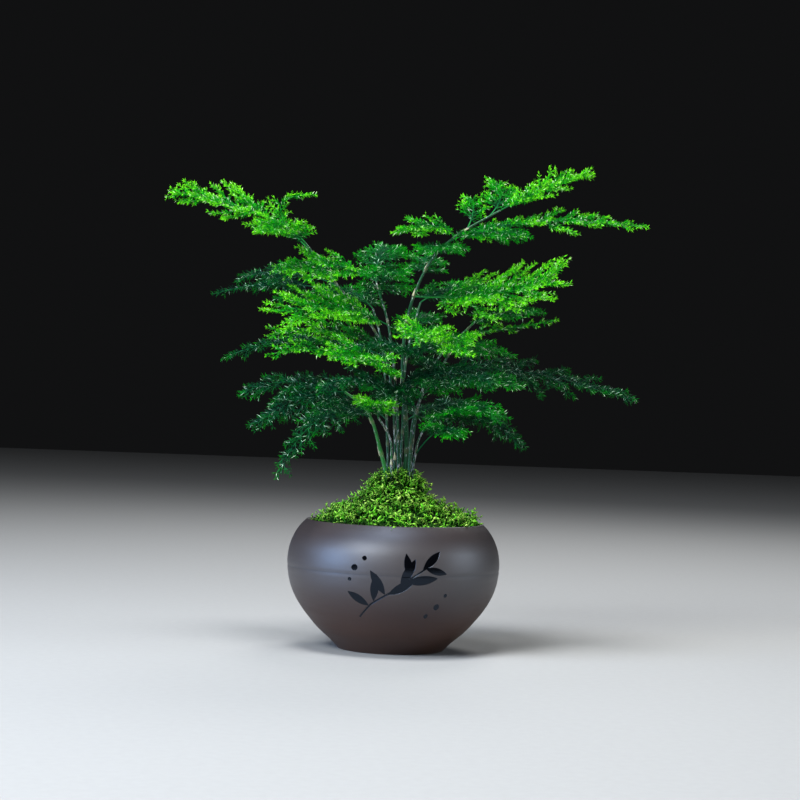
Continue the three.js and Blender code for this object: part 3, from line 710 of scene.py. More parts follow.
def store(net, geometry, name, value, domain="POINT"):
    sockets = {"Geometry": geometry, "Name": name, "Value": value}
    return net.node("GeometryNodeStoreNamedAttribute", {"data_type": "FLOAT", "domain": domain}, sockets)


def chance(net, low, high, seed):
    """A random number for each point or copy."""
    return net.node("FunctionNodeRandomValue", {"data_type": "FLOAT"}, {2: low, 3: high, 8: seed}, output=1)


def is_marked(net, name):
    return attribute(net, name).math("GREATER_THAN", 0.5)


def height_there(net):
    place = net.node("GeometryNodeInputPosition")
    return net.node("ShaderNodeSeparateXYZ", {}, {"Vector": place}, "Z")


# %% Lay skins, and set copies on points
def skin_along(net, curve, sides, radius, thickness):
    """A round skin along a curve, with closed ends."""
    sockets = {"Resolution": sides, "Radius": radius}
    ring = net.node("GeometryNodeCurvePrimitiveCircle", {"mode": "RADIUS"}, sockets)
    sockets = {"Curve": curve, "Profile Curve": ring, "Fill Caps": True, "Scale": thickness}
    return net.node("GeometryNodeCurveToMesh", {}, sockets)


def facing(net, direction):
    """The rotation that turns a copy's Z to a direction."""
    return net.node("FunctionNodeAlignRotationToVector", {"axis": "Z"}, {"Vector": direction})


def turned_by(net, rotation, **turns):
    """That rotation after a turn of the copy about its own X, Y and Z."""
    turn = net.node("ShaderNodeCombineXYZ", {}, turns)
    sockets = {"Rotation": rotation, "Rotate By": turn}
    return net.node("FunctionNodeRotateRotation", {"rotation_space": "LOCAL"}, sockets)


def spindle(net, middle, size):
    """Six faces, drawn out to a point at both ends."""
    ball = net.node("GeometryNodeMeshUVSphere", {}, {"Segments": 3, "Rings": 2, "Radius": 1.0})
    sockets = {"Geometry": ball, "Translation": (0, 0, middle), "Scale": size}
    return net.node("GeometryNodeTransform", {}, sockets)


def copies_on(net, points, copied, rotation, **others):
    """Copies set on points. Others are more sockets of the node."""
    sockets = {"Points": points, "Instance": copied, "Rotation": rotation}
    sockets |= {key.replace("_", " "): value for key, value in others.items()}
    return net.node("GeometryNodeInstanceOnPoints", {}, sockets)


def smoothed(net, geometry):
    return net.node("GeometryNodeSetShadeSmooth", {}, {"Geometry": geometry})


# %% [markdown]
# ## The canes
#
# Lace fern climbs by thin, hard canes as green as bamboo. Every couple of centimetres a cane has a joint,
# and a cream papery scale is pressed to its lowest joint and to some of the others. A few old canes have
# gone pale, and the same pale patches also carry painted highlights. Each row of the table says how thick a
# cane is at the crown and at its end, how pale it is from fading and painted highlights, how fresh its
# green is, how high its first joint is, and which points it runs through.

# %% Where the canes run
def named_columns(columns, rows):
    """Each row's values by the names of their columns. A short row lacks the last ones."""
    return {name: dict(zip(columns, row)) for name, row in rows.items()}


CANE_ROWS = {
    "cane_low_left": (
        (1.35, 0.6), 0.0, 1.0, 97,
        [(-4.4, -3, 84.8), (-6.4, -3.6, 92), (-9.4, -4.5, 102), (-12.6, -6, 112), (-18, -8, 121),
         (-27, -10, 127)],
    ),
    "cane_front": (
        (0.75, 0.5), 0.85, 0.5, 92,
        [(-2.6, -6.4, 84.3), (-2.8, -6.9, 95), (-3.6, -8, 104), (-6.5, -10.5, 110), (-10, -14, 115)],
    ),
    "cane_crest_left": (
        (0.9, 0.5), 0.55, 0.15, 95,
        [(-1.2, 1, 84.3), (-1, 1.2, 95), (-1.8, 1.8, 110), (-4, 2.6, 130), (-9, 2.6, 150), (-20, 1, 167),
         (-30, -1, 177), (-40, -2, 189), (-50, -3, 201)],
    ),
    "cane_centre": (
        (0.95, 0.5), 0.45, 0.15, 88,
        [(1, -3, 84.3), (0.5, -3.2, 98), (-0.5, -3.8, 115), (-2.5, -4.6, 135), (-5, -4, 152),
         (-8, -3, 166), (-12.5, -1.5, 179), (-15, 0, 187)],
    ),
    "cane_crest_right": (
        (1.6, 0.5), 0.05, 0.15, 99,
        [(4, -1, 84.3), (4.6, -1, 98), (3.9, -0.6, 112), (1.8, 0, 130), (1, 0.4, 148), (2.6, 0.6, 165),
         (6, 0.4, 178), (11, 0, 190), (17, -0.5, 199), (26, -1, 207.5), (36, -1, 214), (47, -1.5, 220.5)],
    ),
    "cane_mid_right": (
        (0.8, 0.5), 0.3, 0.15, 101,
        [(6.2, -5.2, 84.3), (6.3, -5.3, 98), (7, -5.8, 112), (11, -6.4, 126), (17, -6.6, 135),
         (23, -6.4, 146), (27, -6, 153)],
    ),
    "cane_low_right": (
        (0.85, 0.5), 0.7, 0.15, 99,
        [(8.3, -2.2, 84.3), (8, -2.4, 90), (9.2, -2.8, 98), (10.2, -3.2, 104), (13, -3.6, 110),
         (18, -4, 116)],
    ),
    "cane_bright_right": (
        (0.85, 0.5), 0.35, 0.15, 104,
        [(6.5, 3.2, 84.3), (7.2, 3.8, 100), (9.4, 4.6, 120), (14.5, 5, 138), (22, 4.4, 150), (30, 3, 158),
         (38, 1, 166)],
    ),
    "cane_back": (
        (0.9, 0.5), 0.1, 0.15, 108,
        [(1.5, 5.4, 84.3), (2, 7, 100), (2.2, 9.4, 120), (2.4, 12.4, 140), (5, 15.6, 158), (9, 19, 174)],
    ),
    "cane_back_left": (
        (0.85, 0.5), 0.15, 0.15, 102,
        [(-4, 4.4, 84.3), (-5, 6.6, 100), (-6.4, 9.4, 120), (-8, 12.4, 138), (-10.5, 14.6, 155),
         (-15, 17.6, 170)],
    ),
}
CANES = named_columns(("radii", "pale", "fresh", "first_joint", "route"), CANE_ROWS)

for cane in CANES.values():
    cane["curve"] = smooth_route(cane["route"])
print("canes:", len(CANES), "longest:", round(max(c["curve"].length for c in CANES.values())), "mm")


# %% Lay a cane's skeleton
CANE_POINT_STEP = 1.2
CANE_SUNK = 4
JOINT_GAPS = (13, 19)
JOINT_HALF_LENGTH = 1.1
JOINT_SWELLING = 0.24
# Joints that come before this point of the skeleton keep their scales, and later ones by this chance.
SCALES_KEPT_BEFORE = 16
SCALE_CHANCE = 0.3


def cane_radius(cane, share):
    start, end = cane["radii"]
    return start + (end - start) * math.sqrt(share)


def joint_places(cane, dice):
    """Where the joints sit along the cane, in millimetres from its start."""
    place = cane["curve"].share_at_height(cane["first_joint"]) * cane["curve"].length
    places = []
    while place < cane["curve"].length - 4:
        places.append(place)
        place += dice.uniform(*JOINT_GAPS)
    return np.array(places)


def cane_skeleton(cane, seed):
    dice = np.random.default_rng(seed)
    curve = cane["curve"]
    joints = joint_places(cane, dice)
    lengths = np.arange(-CANE_SUNK, curve.length, CANE_POINT_STEP)
    lengths = np.append(lengths, curve.length)
    start, down = curve.at(0), curve.heading(0)
    points = [curve.at(s / curve.length) if s > 0 else start + down * s for s in lengths]
    away = np.min(np.abs(lengths[:, None] - joints), axis=1)
    knuckle = np.exp(-((away / JOINT_HALF_LENGTH) ** 2))
    thickness = np.array([cane_radius(cane, max(0, s) / curve.length) for s in lengths])
    thickness *= 1 + JOINT_SWELLING * knuckle
    skeleton = Skeleton("thickness", "joint", "pale", "fresh", "scale_here")
    nearest = [int(np.argmin(np.abs(lengths - joint))) for joint in joints]
    draws = dice.random(len(nearest))
    kept = [at for at, draw in zip(nearest, draws) if at < SCALES_KEPT_BEFORE or draw < SCALE_CHANCE]
    scale_here = np.isin(np.arange(len(lengths)), kept).astype(float)
    values = {"thickness": thickness * MM, "joint": knuckle, "scale_here": scale_here}
    skeleton.stalk(points, pale=cane["pale"], fresh=cane["fresh"], **values)
    return skeleton


# %% [markdown]
# The tree for canes lays a round skin along the skeleton, and sets a papery scale at each joint that keeps
# one: a pointed cone, pressed flat and half sunk into the cane, turned at random about it. The cone has few
# faces, because it is repeated.

# %% Build the tree for canes
CANE_SIDES = 10

cane_net, inputs = new_tree("cane_tree", Scale_length=4.2, Seed=3)
curve = cane_net.node("GeometryNodeMeshToCurve", {}, {"Mesh": inputs})
thickness = attribute(cane_net, "thickness")
skin = store(cane_net, skin_along(cane_net, curve, CANE_SIDES, 1.0, thickness), "papery", 0.0)

cone_sockets = {"Vertices": 8, "Side Segments": 3, "Radius Top": 0.04, "Radius Bottom": 1.0, "Depth": 1.0}
cone = store(cane_net, cane_net.node("GeometryNodeMeshCone", {}, cone_sockets), "papery", 1.0)
scale_length = inputs.output("Scale length")
flattened = cane_net.node("ShaderNodeCombineXYZ", {}, {"X": 0.42, "Y": 0.95, "Z": scale_length})
pressed = {"Translation": (0.72, 0, -0.6), "Rotation": (0, math.radians(4), 0), "Scale": flattened}
cone = cane_net.node("GeometryNodeTransform", {}, {"Geometry": cone, **pressed})
upright = facing(cane_net, cane_net.node("GeometryNodeInputTangent"))
spun = turned_by(cane_net, upright, Z=chance(cane_net, 0.0, math.tau, inputs.output("Seed")))
at_joint = is_marked(cane_net, "scale_here")
scales = copies_on(cane_net, curve, cone, spun, Selection=at_joint, Scale=thickness)
joined = cane_net.node("GeometryNodeJoinGeometry", {}, {"Geometry": [skin, scales]})
dressed = smoothed(cane_net, joined)
print("nodes in the canes' tree:", len(cane_net.tree.nodes))

# %% [markdown]
# A cane is a dark bluish green with fine streaks along it, or a clear green where it is fresh. Where it
# ages, the green breaks up into pale, slightly purple patches, which also stand in for painted highlights
# along the cane. Its joints are tan, and its papery scales cream. All of this is read from what the
# skeleton carried along, so the colour sits where the shape says.


# %% Finish the canes
def told(net, name):
    """A named attribute, in a material."""
    return net.node("ShaderNodeAttribute", {"attribute_name": name}, output="Fac")


cane_skin, net, surface = new_finish("jointed_cane", Specular_IOR_Level=0.35)
place = own_place(net)
streaks = noise(net, stretched(net, place, 0.12), 0.35 * MM, 3, 0.6)
patches = noise(net, stretched(net, place, 0.4), 0.9 * MM, 3, 0.65)
pale = told(net, "pale")
fresh = told(net, "fresh")
dark = net.mix(streaks, (0.0008, 0.016, 0.009), (0.006, 0.080, 0.035))
green = net.mix(fresh, dark, net.mix(streaks, (0.002, 0.070, 0.012), (0.030, 0.34, 0.045)))
# Pale patches: partly a faded cane, partly painted highlights along it.
faded_and_sheen = net.mix(net.between(streaks, 0.42, 0.6), (0.02, 0.06, 0.05), (0.62, 0.605, 0.64))
faded_and_sheen_mask = net.between(patches + pale * 0.13, 0.605, 0.64)
body = net.mix(faded_and_sheen_mask, green, faded_and_sheen)
body = net.mix(told(net, "joint") * 0.45, body, (0.22, 0.19, 0.09))
paper = net.mix(streaks, (0.50, 0.46, 0.26), (0.78, 0.74, 0.52))
body = net.mix(told(net, "papery"), body, paper)
feed(
    net,
    surface,
    Base_Color=body,
    Roughness=0.36 + faded_and_sheen_mask * 0.2 + told(net, "papery") * 0.25,
    Normal=bump(net, streaks, 0.12 * MM, 0.5),
)
close_tree(cane_net, [dressed], cane_skin)

# %% Grow the canes
for number, (name, cane) in enumerate(CANES.items()):
    start = cane_skeleton(cane, 200 + number).mesh(name + "_skeleton")
    cane_mesh = grow(name, start, cane_net, Seed=number)
    new_piece("jointed_" + name, cane_mesh, "cane", name)

# %% [markdown]
# ## The fronds
#
# A frond is a flat spray. Its rib leaves the cane, bends over and carries side twigs in one plane, the
# twigs carry twiglets, and all of them are set with whorls of fine green needles, which do a leaf's work.
# Fronds lie nearly level in tiers, so from the side each one is a feathery layer. New ones are short-
# needled and lime green, and old ones are long-needled and dark. The table is the solids' own. A row says
# which cane the frond is on, the height where it leaves it, or None where it goes on from the cane's end,
# the point it bends over, its tip, its age, its longest twigs, its pairs of twigs, the bare share of its
# rib, its roll, and whether it ends blunt.

# %% Where the fronds run
FROND_ROWS = {
    "crest_left": ("crest_left", None, (-64, -10, 216.5), (-116, -18, 222), "new", 23.5, 6, 0.18, -28),
    "crest_left_low": ("crest_left", 198, (-60, -17, 212), (-67, -42, 202), "young", 19, 5, 0.14, -8),
    "crest_left_spur": ("crest_left", 196, (-80, 6, 225), (-46, 3, 225.5), "new", 7, 3, 0.5, 0),
    "crest_right": ("crest_right", None, (66, -4, 232), (91, -8, 239.5), "new", 19, 5, 0.1, 24),
    "crest_right_back": ("crest_right", 217.5, (52, 10, 230), (45, 24, 237.5), "young", 13, 4, 0.2, 12),
    "crest_right_long": (
        "crest_right", 207.5, (66, -14, 219.5), (118, -14, 213.5), "young", 18.5, 7, 0.08, 22,
    ),
    "crest_right_left_high": ("crest_right", 211, (37, 8, 225), (30, 17, 228.5), "young", 10, 3, 0.2, 0),
    "crest_right_short": ("crest_right", 203.5, (34, -14, 211), (58, -34, 206.5), "grown", 18, 3, 0.2, 0),
    "crest_right_left": ("crest_right", 206, (22, -6, 215), (-4, -14, 207), "young", 16, 4, 0.12, -14),
    "crest_right_front": ("crest_right", 197, (18, -20, 201), (20, -40, 198), "grown", 17, 4, 0.12, 0),
    "top_dome": ("centre", None, (-12, 14, 199), (-9, 40, 204), "grown", 18, 4, 0.14, 0),
    "top_dome_right": ("crest_right", 187, (10, 16, 196), (13, 34, 199), "grown", 15, 3, 0.14, 0),
    "upper_left": ("centre", 183, (-36, -12, 195.5), (-60, -20, 185), "young", 23, 5, 0.12, -25),
    "upper_left_dark": ("crest_left", 180, (-56, 18, 191), (-84, 30, 185), "old", 19, 4, 0.2, -28),
    "upper_left_tail": ("crest_left", 175, (-60, 4, 186), (-95, 6, 174), "old", 7, 5, 0.3, 0),
    "upper_left_slim": ("crest_left", 168, (-42, -6, 178), (-63, -8, 172), "grown", 10, 3, 0.3, 0),
    "top_middle": ("centre", 174, (-11, -18, 189), (-6, -42, 185), "grown", 20, 4, 0.12, -6),
    "mid_left": ("centre", 161, (-34, -20, 174), (-57, -34, 163.5), "new", 26, 5, 0.1, -36, "blunt"),
    "mid_left_under": ("centre", 150, (-36, -14, 162), (-66, -24, 153), "young", 18, 4, 0.16, -30),
    "mid_left_dark": ("back_left", 146, (-48, 20, 163), (-91, 24, 142), "old", 14, 5, 0.14, -14),
    "mid_left_low": ("centre", 142, (-34, -26, 152), (-64, -38, 143.5), "young", 17, 4, 0.14, -26),
    "mid_left_front": ("centre", 133, (-16, -38, 150), (-32, -72, 142), "young", 25, 4, 0.12, -20),
    "front_bright": ("mid_right", 146, (15, -30, 161.5), (4, -54, 154.5), "new", 18, 4, 0.12, -12, "blunt"),
    "front_bright_right": ("mid_right", None, (27, -24, 163), (27, -48, 146), "new", 15, 3, 0.12, 8, "blunt"),
    "right_bright": ("crest_right", 176, (46, -22, 174), (73, -34, 186), "new", 30, 6, 0.2, 34, "blunt"),
    "right_spur": ("bright_right", 158, (50, 0, 161), (77, -4, 166.5), "new", 7, 3, 0.12, 20),
    "right_bright_low": ("bright_right", None, (46, -12, 171), (66, -28, 169), "grown", 17, 4, 0.06, 10),
    "right_long_dark": ("bright_right", 141, (66, 12, 145), (119.5, 14, 129), "old", 22, 7, 0.1, 26),
    "low_right": ("low_right", None, (36, -8, 125), (61, -17, 105), "old", 14, 4, 0.08, 22),
    "low_right_spur": ("low_right", 97.5, (22, -20, 118), (29, -40, 107), "grown", 14, 3, 0.36, 0),
    "low_right_front": ("low_right", 108, (26, -26, 130), (50, -42, 117.5), "grown", 18, 4, 0.16, 10),
    "low_right_high": ("mid_right", 128, (38, -16, 140), (58, -24, 133), "grown", 20, 4, 0.06, 14),
    "low_left": ("low_left", 118, (-50, 2, 141), (-80, 4, 124), "old", 18, 5, 0.1, -30),
    "low_left_mid": ("low_left", None, (-50, -18, 128), (-70, -28, 109), "old", 15.5, 5, 0.06, -28),
    "low_left_drooping": ("low_left", 115, (-42, -34, 126), (-57, -46, 85), "old", 12, 5, 0.1, -20),
    "low_front": ("front", None, (-10, -26, 123), (-14, -50, 122), "young", 15, 4, 0.1, -10),
    "centre_dark": ("mid_right", 120, (-8, -26, 140), (-38, -42, 130), "old", 24, 4, 0.04, -14),
    "centre_left_dark": ("mid_right", 138, (0, -24, 158), (-24, -36, 148), "old", 19, 5, 0.06, -14),
    "centre_right_dark": ("centre", 130, (20, -22, 144), (46, -34, 134), "old", 21, 5, 0.04, 26),
    "back_low_left": ("back_left", 114, (-26, 42, 132), (-46, 72, 112), "old", 23, 5, 0.12, 0),
    "back_low_right": ("back", 112, (28, 38, 134), (52, 66, 114), "old", 23, 5, 0.12, 0),
    "back_middle": ("back", 148, (10, 36, 174), (13, 62, 168), "grown", 17, 4, 0.12, 0),
    "back_mid_right": ("back", 150, (34, 36, 158), (56, 46, 149), "grown", 22, 5, 0.12, 0),
    "back_upper_right": ("back", None, (26, 36, 188), (50, 52, 184), "grown", 18, 5, 0.1, 0),
    "back_upper_left": ("back_left", None, (-26, 36, 184), (-46, 54, 178), "grown", 18, 5, 0.1, 0),
}
FROND_COLUMNS = ("cane", "leaves", "over", "tip", "age", "reach", "pairs", "bare", "roll", "end")
FRONDS = named_columns(FROND_COLUMNS, FROND_ROWS)

# Of each age: how young its base and its tips look, how late along a twig the young part starts, its
# needles' length and how far they lean from the twig, and how far its twigs droop.
AGES = {
    "new": {"base": 0.30, "tips": 1.0, "creep": 1.1, "needle": 2.8, "lean": 38, "droop": -0.05},
    "young": {"base": 0.26, "tips": 0.88, "creep": 1.2, "needle": 2.9, "lean": 38, "droop": 0.0},
    "grown": {"base": 0.12, "tips": 0.56, "creep": 1.8, "needle": 3.2, "lean": 42, "droop": 0.1},
    "old": {"base": 0.0, "tips": 0.34, "creep": 3.0, "needle": 3.4, "lean": 46, "droop": 0.16},
}
print("fronds:", len(FRONDS))


# %% Lay a frond's rib
RIB_RADII = (0.45, 0.12)
TWIG_RADII = (0.24, 0.1)
TWIGLET_RADII = (0.15, 0.08)
RIB_POINTS = 40
TWIG_POINTS = 7
TWIGLET_POINTS = 4
UP = np.array([0, 0, 1.0])


def rib_of(frond):
    """The rib's arc, from inside its cane to its tip."""
    cane = CANES["cane_" + frond["cane"]]["curve"]
    start = cane.at(1 if frond["leaves"] is None else cane.share_at_height(frond["leaves"]))
    return arc_route(start, frond["over"], frond["tip"])


def rib_frame(rib, share, roll):
    """The frond's own directions there: along the rib, to its left, and up from its blade."""
    along = rib.heading(share)
    level = unit(np.cross(UP, along))
    over = np.cross(along, level)
    side = level * math.cos(roll) + over * math.sin(roll)
    return along, side, np.cross(along, side)


# How far the twigs shorten up to a frond's tip.
TIP_TAPER = {"pointed": 0.86, "blunt": 0.6}


def twig_share(feathered, tip_taper):
    """How long the twigs are along the rib: growing at first, then shrinking towards the tip."""
    return (1 - tip_taper * feathered) ** 0.8 * min(1, 0.66 + 1.6 * feathered)


# %% [markdown]
# Twigs alternate from side to side. Each is a gentle arc that leans forward, droops a little, and is never
# quite in the blade's plane, and each carries twiglets in turn, the longer the nearer they are to its root.
# That is three levels of stalk from one rule, so it is a function for a twig and a function for a frond.
# Where a frond is rolled, its twigs step down like stairs, but each holds its own twiglets nearly level to
# catch the light, so that the frond looks tiered.


# %% Lay the twigs and twiglets
TWIGS_A_PAIR = 4.6
TWIG_ANGLE = math.radians(58)
TWIGLET_STEP = 3.2
TWIGLET_ANGLES = (38, 54)
TWIGLET_TILTS = (-12, 12)
LONGEST_TWIGLET = 10
TWIGLET_DROOP = 1.4
FORWARD_PULL = 0.22


def bent_stalk(root, out, forward, length, droop, steps):
    """Points on a stalk that leaves along out, and is pulled forward and down more and more."""
    far = np.linspace(0, 1, steps)[:, None] * length
    bend = far**2 / max(length, 1)
    return root + out * far + forward * (FORWARD_PULL * bend) - UP * (droop * bend)


def youth_at(share, looks, slower=1):
    """How young a stalk looks at a share of its length."""
    return looks["base"] + (looks["tips"] - looks["base"]) * share ** (slower * looks["creep"])


def lay_twig(skeleton, root, out, frame, length, looks, dice):
    along, _, up = frame
    up = unit(0.3 * up + 0.7 * UP)
    shares = np.linspace(0, 1, TWIG_POINTS)
    points = bent_stalk(root, out, along, length, looks["droop"], TWIG_POINTS)
    thickness = np.linspace(*TWIG_RADII, TWIG_POINTS) * MM
    size = np.linspace(1, 0.8, TWIG_POINTS)
    skeleton.stalk(points, thickness=thickness, young=youth_at(shares, looks), leafy=1, size=size)
    thin = np.linspace(*TWIGLET_RADII, TWIGLET_POINTS) * MM
    twiglet_size = np.linspace(0.95, 0.7, TWIGLET_POINTS)
    route = Route(points)
    hand = dice.choice([-1, 1])
    place = dice.uniform(1.6, 3.2)
    while place < length - 1.2:
        share = place / length
        heading = route.heading(share)
        across = unit(np.cross(up, heading))
        tilt = math.radians(dice.uniform(*TWIGLET_TILTS))
        angle = math.radians(dice.uniform(*TWIGLET_ANGLES))
        aside = across * math.cos(tilt) + up * math.sin(tilt)
        branch = heading * math.cos(angle) + aside * (hand * math.sin(angle))
        reach = min(LONGEST_TWIGLET, 0.42 * (length - place) + 2.4) * dice.uniform(0.75, 1.2)
        droop = TWIGLET_DROOP * looks["droop"]
        twiglet = bent_stalk(route.at(share), branch, heading, reach, droop, TWIGLET_POINTS)
        looks_there = dict(looks, base=youth_at(share, looks))
        young = youth_at(np.linspace(0, 1, TWIGLET_POINTS), looks_there)
        skeleton.stalk(twiglet, thickness=thin, young=young, leafy=1, size=twiglet_size)
        hand = -hand
        place += TWIGLET_STEP * dice.uniform(0.75, 1.25)


def frond_skeleton(frond, seed):
    dice = np.random.default_rng(seed)
    rib = rib_of(frond)
    looks = AGES[frond["age"]]
    tip_taper = TIP_TAPER[frond.get("end", "pointed")]
    skeleton = Skeleton("thickness", "young", "leafy", "size")
    shares = np.linspace(0, 1, RIB_POINTS)
    youth = youth_at(shares, looks, 2)
    thickness = np.linspace(*RIB_RADII, RIB_POINTS) * MM
    leafy = (shares > frond["bare"]).astype(float)
    points = [rib.at(share) for share in shares]
    skeleton.stalk(points, thickness=thickness, young=youth, leafy=leafy, size=1 - 0.25 * shares)
    twigs = round(TWIGS_A_PAIR * frond["pairs"])
    for number in range(twigs):
        feathered = (number + dice.uniform(-0.3, 0.3)) / twigs
        feathered = min(max(feathered, 0), 1)
        share = frond["bare"] + (0.97 - frond["bare"]) * feathered
        frame = rib_frame(rib, share, math.radians(frond["roll"]))
        along, side, up = frame
        hand = 1 if number % 2 else -1
        angle = TWIG_ANGLE * (1 - 0.25 * feathered) + math.radians(dice.uniform(-6, 6))
        out = unit(along * math.cos(angle) + side * (hand * math.sin(angle)) + up * dice.uniform(-0.34, 0.34))
        length = frond["reach"] * twig_share(feathered, tip_taper) * dice.uniform(0.82, 1.06)
        looks_here = dict(looks, base=looks["base"] + (looks["tips"] - looks["base"]) * 0.3 * share)
        lay_twig(skeleton, rib.at(share), out, frame, max(length, 2.5), looks_here, dice)
    return skeleton


# %% [markdown]
# A needle is a spindle of six faces: a ball of three segments and two rings, drawn out to a point at both
# ends. The tree walks along every leafy stalk, stops at each whorl, and sets a handful of needles round it,
# each with its own spin, lean and length. Making the copies with Duplicate Elements before they are turned
# gives every needle its own random numbers, so that no two whorls are alike and none of the regular pattern
# of a copied whorl shows.

# %% Build the tree for fronds
STALK_SIDES = 3

frond_net, inputs = new_tree(
    "frond_tree",
    Whorl_step=1.8 * MM,
    Needles=6,
    Needle_length=2.6 * MM,
    Needle_width=0.175 * MM,
    Lean=math.radians(50),
    Seed=1,
)
seed = inputs.output("Seed")
curve = frond_net.node("GeometryNodeMeshToCurve", {}, {"Mesh": inputs})
wood = skin_along(frond_net, curve, STALK_SIDES, 1.0, attribute(frond_net, "thickness"))
wood = smoothed(frond_net, store(frond_net, wood, "wood", 1.0))

whorl_sockets = {"Curve": curve, "Length": inputs.output("Whorl step")}
whorls = frond_net.node("GeometryNodeCurveToPoints", {"mode": "LENGTH"}, whorl_sockets)
along_twig = facing(frond_net, whorls.output("Tangent"))
is_leafy = is_marked(frond_net, "leafy")
root_sockets = {"Geometry": whorls, "Selection": is_leafy, "Amount": inputs.output("Needles")}
roots = frond_net.node("GeometryNodeDuplicateElements", {"domain": "POINT"}, root_sockets)
lean = inputs.output("Lean") + chance(frond_net, -0.35, 0.3, seed + 1)
spin = chance(frond_net, 0.0, math.tau, seed + 2)
turned = turned_by(frond_net, along_twig, Y=lean, Z=spin)

spike = spindle(frond_net, 0.5, (1, 1, 0.5))
spike = store(frond_net, spike, "tip", height_there(frond_net))
size = attribute(frond_net, "size")
length = inputs.output("Needle length") * size * chance(frond_net, 0.7, 1.15, seed + 3)
width = inputs.output("Needle width") * size
needle_size = frond_net.node("ShaderNodeCombineXYZ", {}, {"X": width, "Y": width, "Z": length})
needles = copies_on(frond_net, roots, spike, turned, Scale=needle_size)
needles = store(frond_net, needles, "gleam", chance(frond_net, 0.0, 1.0, seed + 4), "INSTANCE")
print("nodes in the fronds' tree:", len(frond_net.tree.nodes))

# %% [markdown]
# One finish serves every frond. A ramp turns how young a needle is into its colour, from a dark bluish
# green to lime. Needles grow lighter towards their points, and noise makes neighbouring tufts differ. Each
# needle's own random number darkens some of them with painted shade and gives a few a painted gleam. Rib
# and twigs have a green of their own.

# %% Finish the fronds
fern_green, net, surface = new_finish("fern_green", Specular_IOR_Level=0.04)
place = own_place(net)
tufts = noise(net, place, 7 * MM, 2)
specks = noise(net, place, 1.9 * MM, 2)
tip = told(net, "tip")
young = told(net, "young") + (tufts - 0.5) * 0.8 + (specks - 0.5) * 0.5 + tip * tip * 0.3 - 0.05
body = net.node(
    "ShaderNodeValToRGB",
    {
        "stops": [
            (0.0, (0.0005, 0.030, 0.015)),
            (0.25, (0.0008, 0.075, 0.016)),
            (0.5, (0.0008, 0.20, 0.003)),
            (0.75, (0.004, 0.41, 0.002)),
            (1.0, (0.20, 0.83, 0.012)),
        ]
    },
    {"Fac": young},
)
shade = told(net, "gleam")
# Painted shade: some needles turned nearly black green, standing in for shade deep in the fronds.
painted_shade = net.mix(young, (0.0003, 0.010, 0.005), (0.002, 0.11, 0.001))
# Painted gleam: a few needles turned pale, standing in for highlights on them.
gleam = net.mix(young, (0.34, 0.54, 0.44), (0.72, 0.90, 0.52))
wood_green = net.mix(young, (0.006, 0.080, 0.034), (0.018, 0.32, 0.012))
body = net.mix(net.between(shade, 0.55, 0.1) * 0.8, body, painted_shade)
body = net.mix(net.between(shade, 0.94, 0.95) * 0.85, body, gleam)
body = net.mix(told(net, "wood"), body, wood_green)
feed(net, surface, Base_Color=body, Roughness=0.46 + tufts * 0.12, Normal=bump(net, specks, 0.05 * MM, 0.3))
close_tree(frond_net, [wood, needles], fern_green)

# %% Grow the fronds
frond_triangles = 0
for number, (name, frond) in enumerate(FRONDS.items()):
    age = AGES[frond["age"]]
    start = frond_skeleton(frond, 500 + number).mesh(name + "_skeleton")
    sizes = {"Needle_length": age["needle"] * MM, "Lean": math.radians(age["lean"])}
    frond_mesh = grow(name, start, frond_net, Seed=10 * number, **sizes)
    piece = new_piece("feathered_" + name, frond_mesh, "frond_" + frond["age"], "frond_" + name)
    frond_triangles += len(piece.data.loop_triangles)
print("triangles in all fronds:", frond_triangles)

# %% [markdown]
# ## The moss
#
# A mound of sheet moss fills the bowl round the canes. Up close it is a tangle of curly shoots, light at
# their tips, with dark gaps between. Its body is a lumpy mound in the same place as the solid's, and
# Geometry Nodes scatter more than a thousand shoots over it. They stand closer on the steep crown, and are
# shorter there and at the rim. A shoot is a short bent stalk with a few pointed leaves, drawn once in four
# bends, so each has few faces and the four are mixed, spun and scaled at random.

# %% Shape the mound
CROWN_RADIUS = 10.8 * MM
CROWN_TOP = 84 * MM
# Radius and height on the mound, in millimetres: low towards the rim, and steep where it climbs the crown
# between the canes.
MOUND = [
    (40.4, 61.6),
    (34.5, 63.7),
    (26.5, 66.7),
    (19, 69.8),
    (13.4, 74),
    (11.8, 79),
    (10.6, 83.8),
    (5, 85.2),
    (0, 85.4),
]
MOUND_SIDES = 96
MOUND_REACH = 42 * MM
MOUND_FOOT = 57.5 * MM
CLEARANCE = 0.3 * MM


def mound_outline():
    """The moss body's outline: from the crown, down its hidden inner wall and back over the mound."""
    radii, heights = (np.array(column) * MM for column in zip(*MOUND))
    fine, knots = np.linspace(0, 1, 30), np.linspace(0, 1, len(MOUND))
    top = list(zip(np.interp(fine, knots, radii), np.interp(fine, knots, heights)))
    inner = CROWN_RADIUS + CLEARANCE
    lid = CROWN_TOP + 0.1 * MM
    shoulder = [(7.9 * MM, lid), (9.6 * MM, 82.9 * MM), (inner, 79.2 * MM)]
    foot = [(inner, MOUND_FOOT), (wall_radius(WALL + 0.8 * MM, MOUND_FOOT), MOUND_FOOT)]
    return [(0, lid), *shoulder, *foot, (40.9 * MM, 61 * MM), *top]


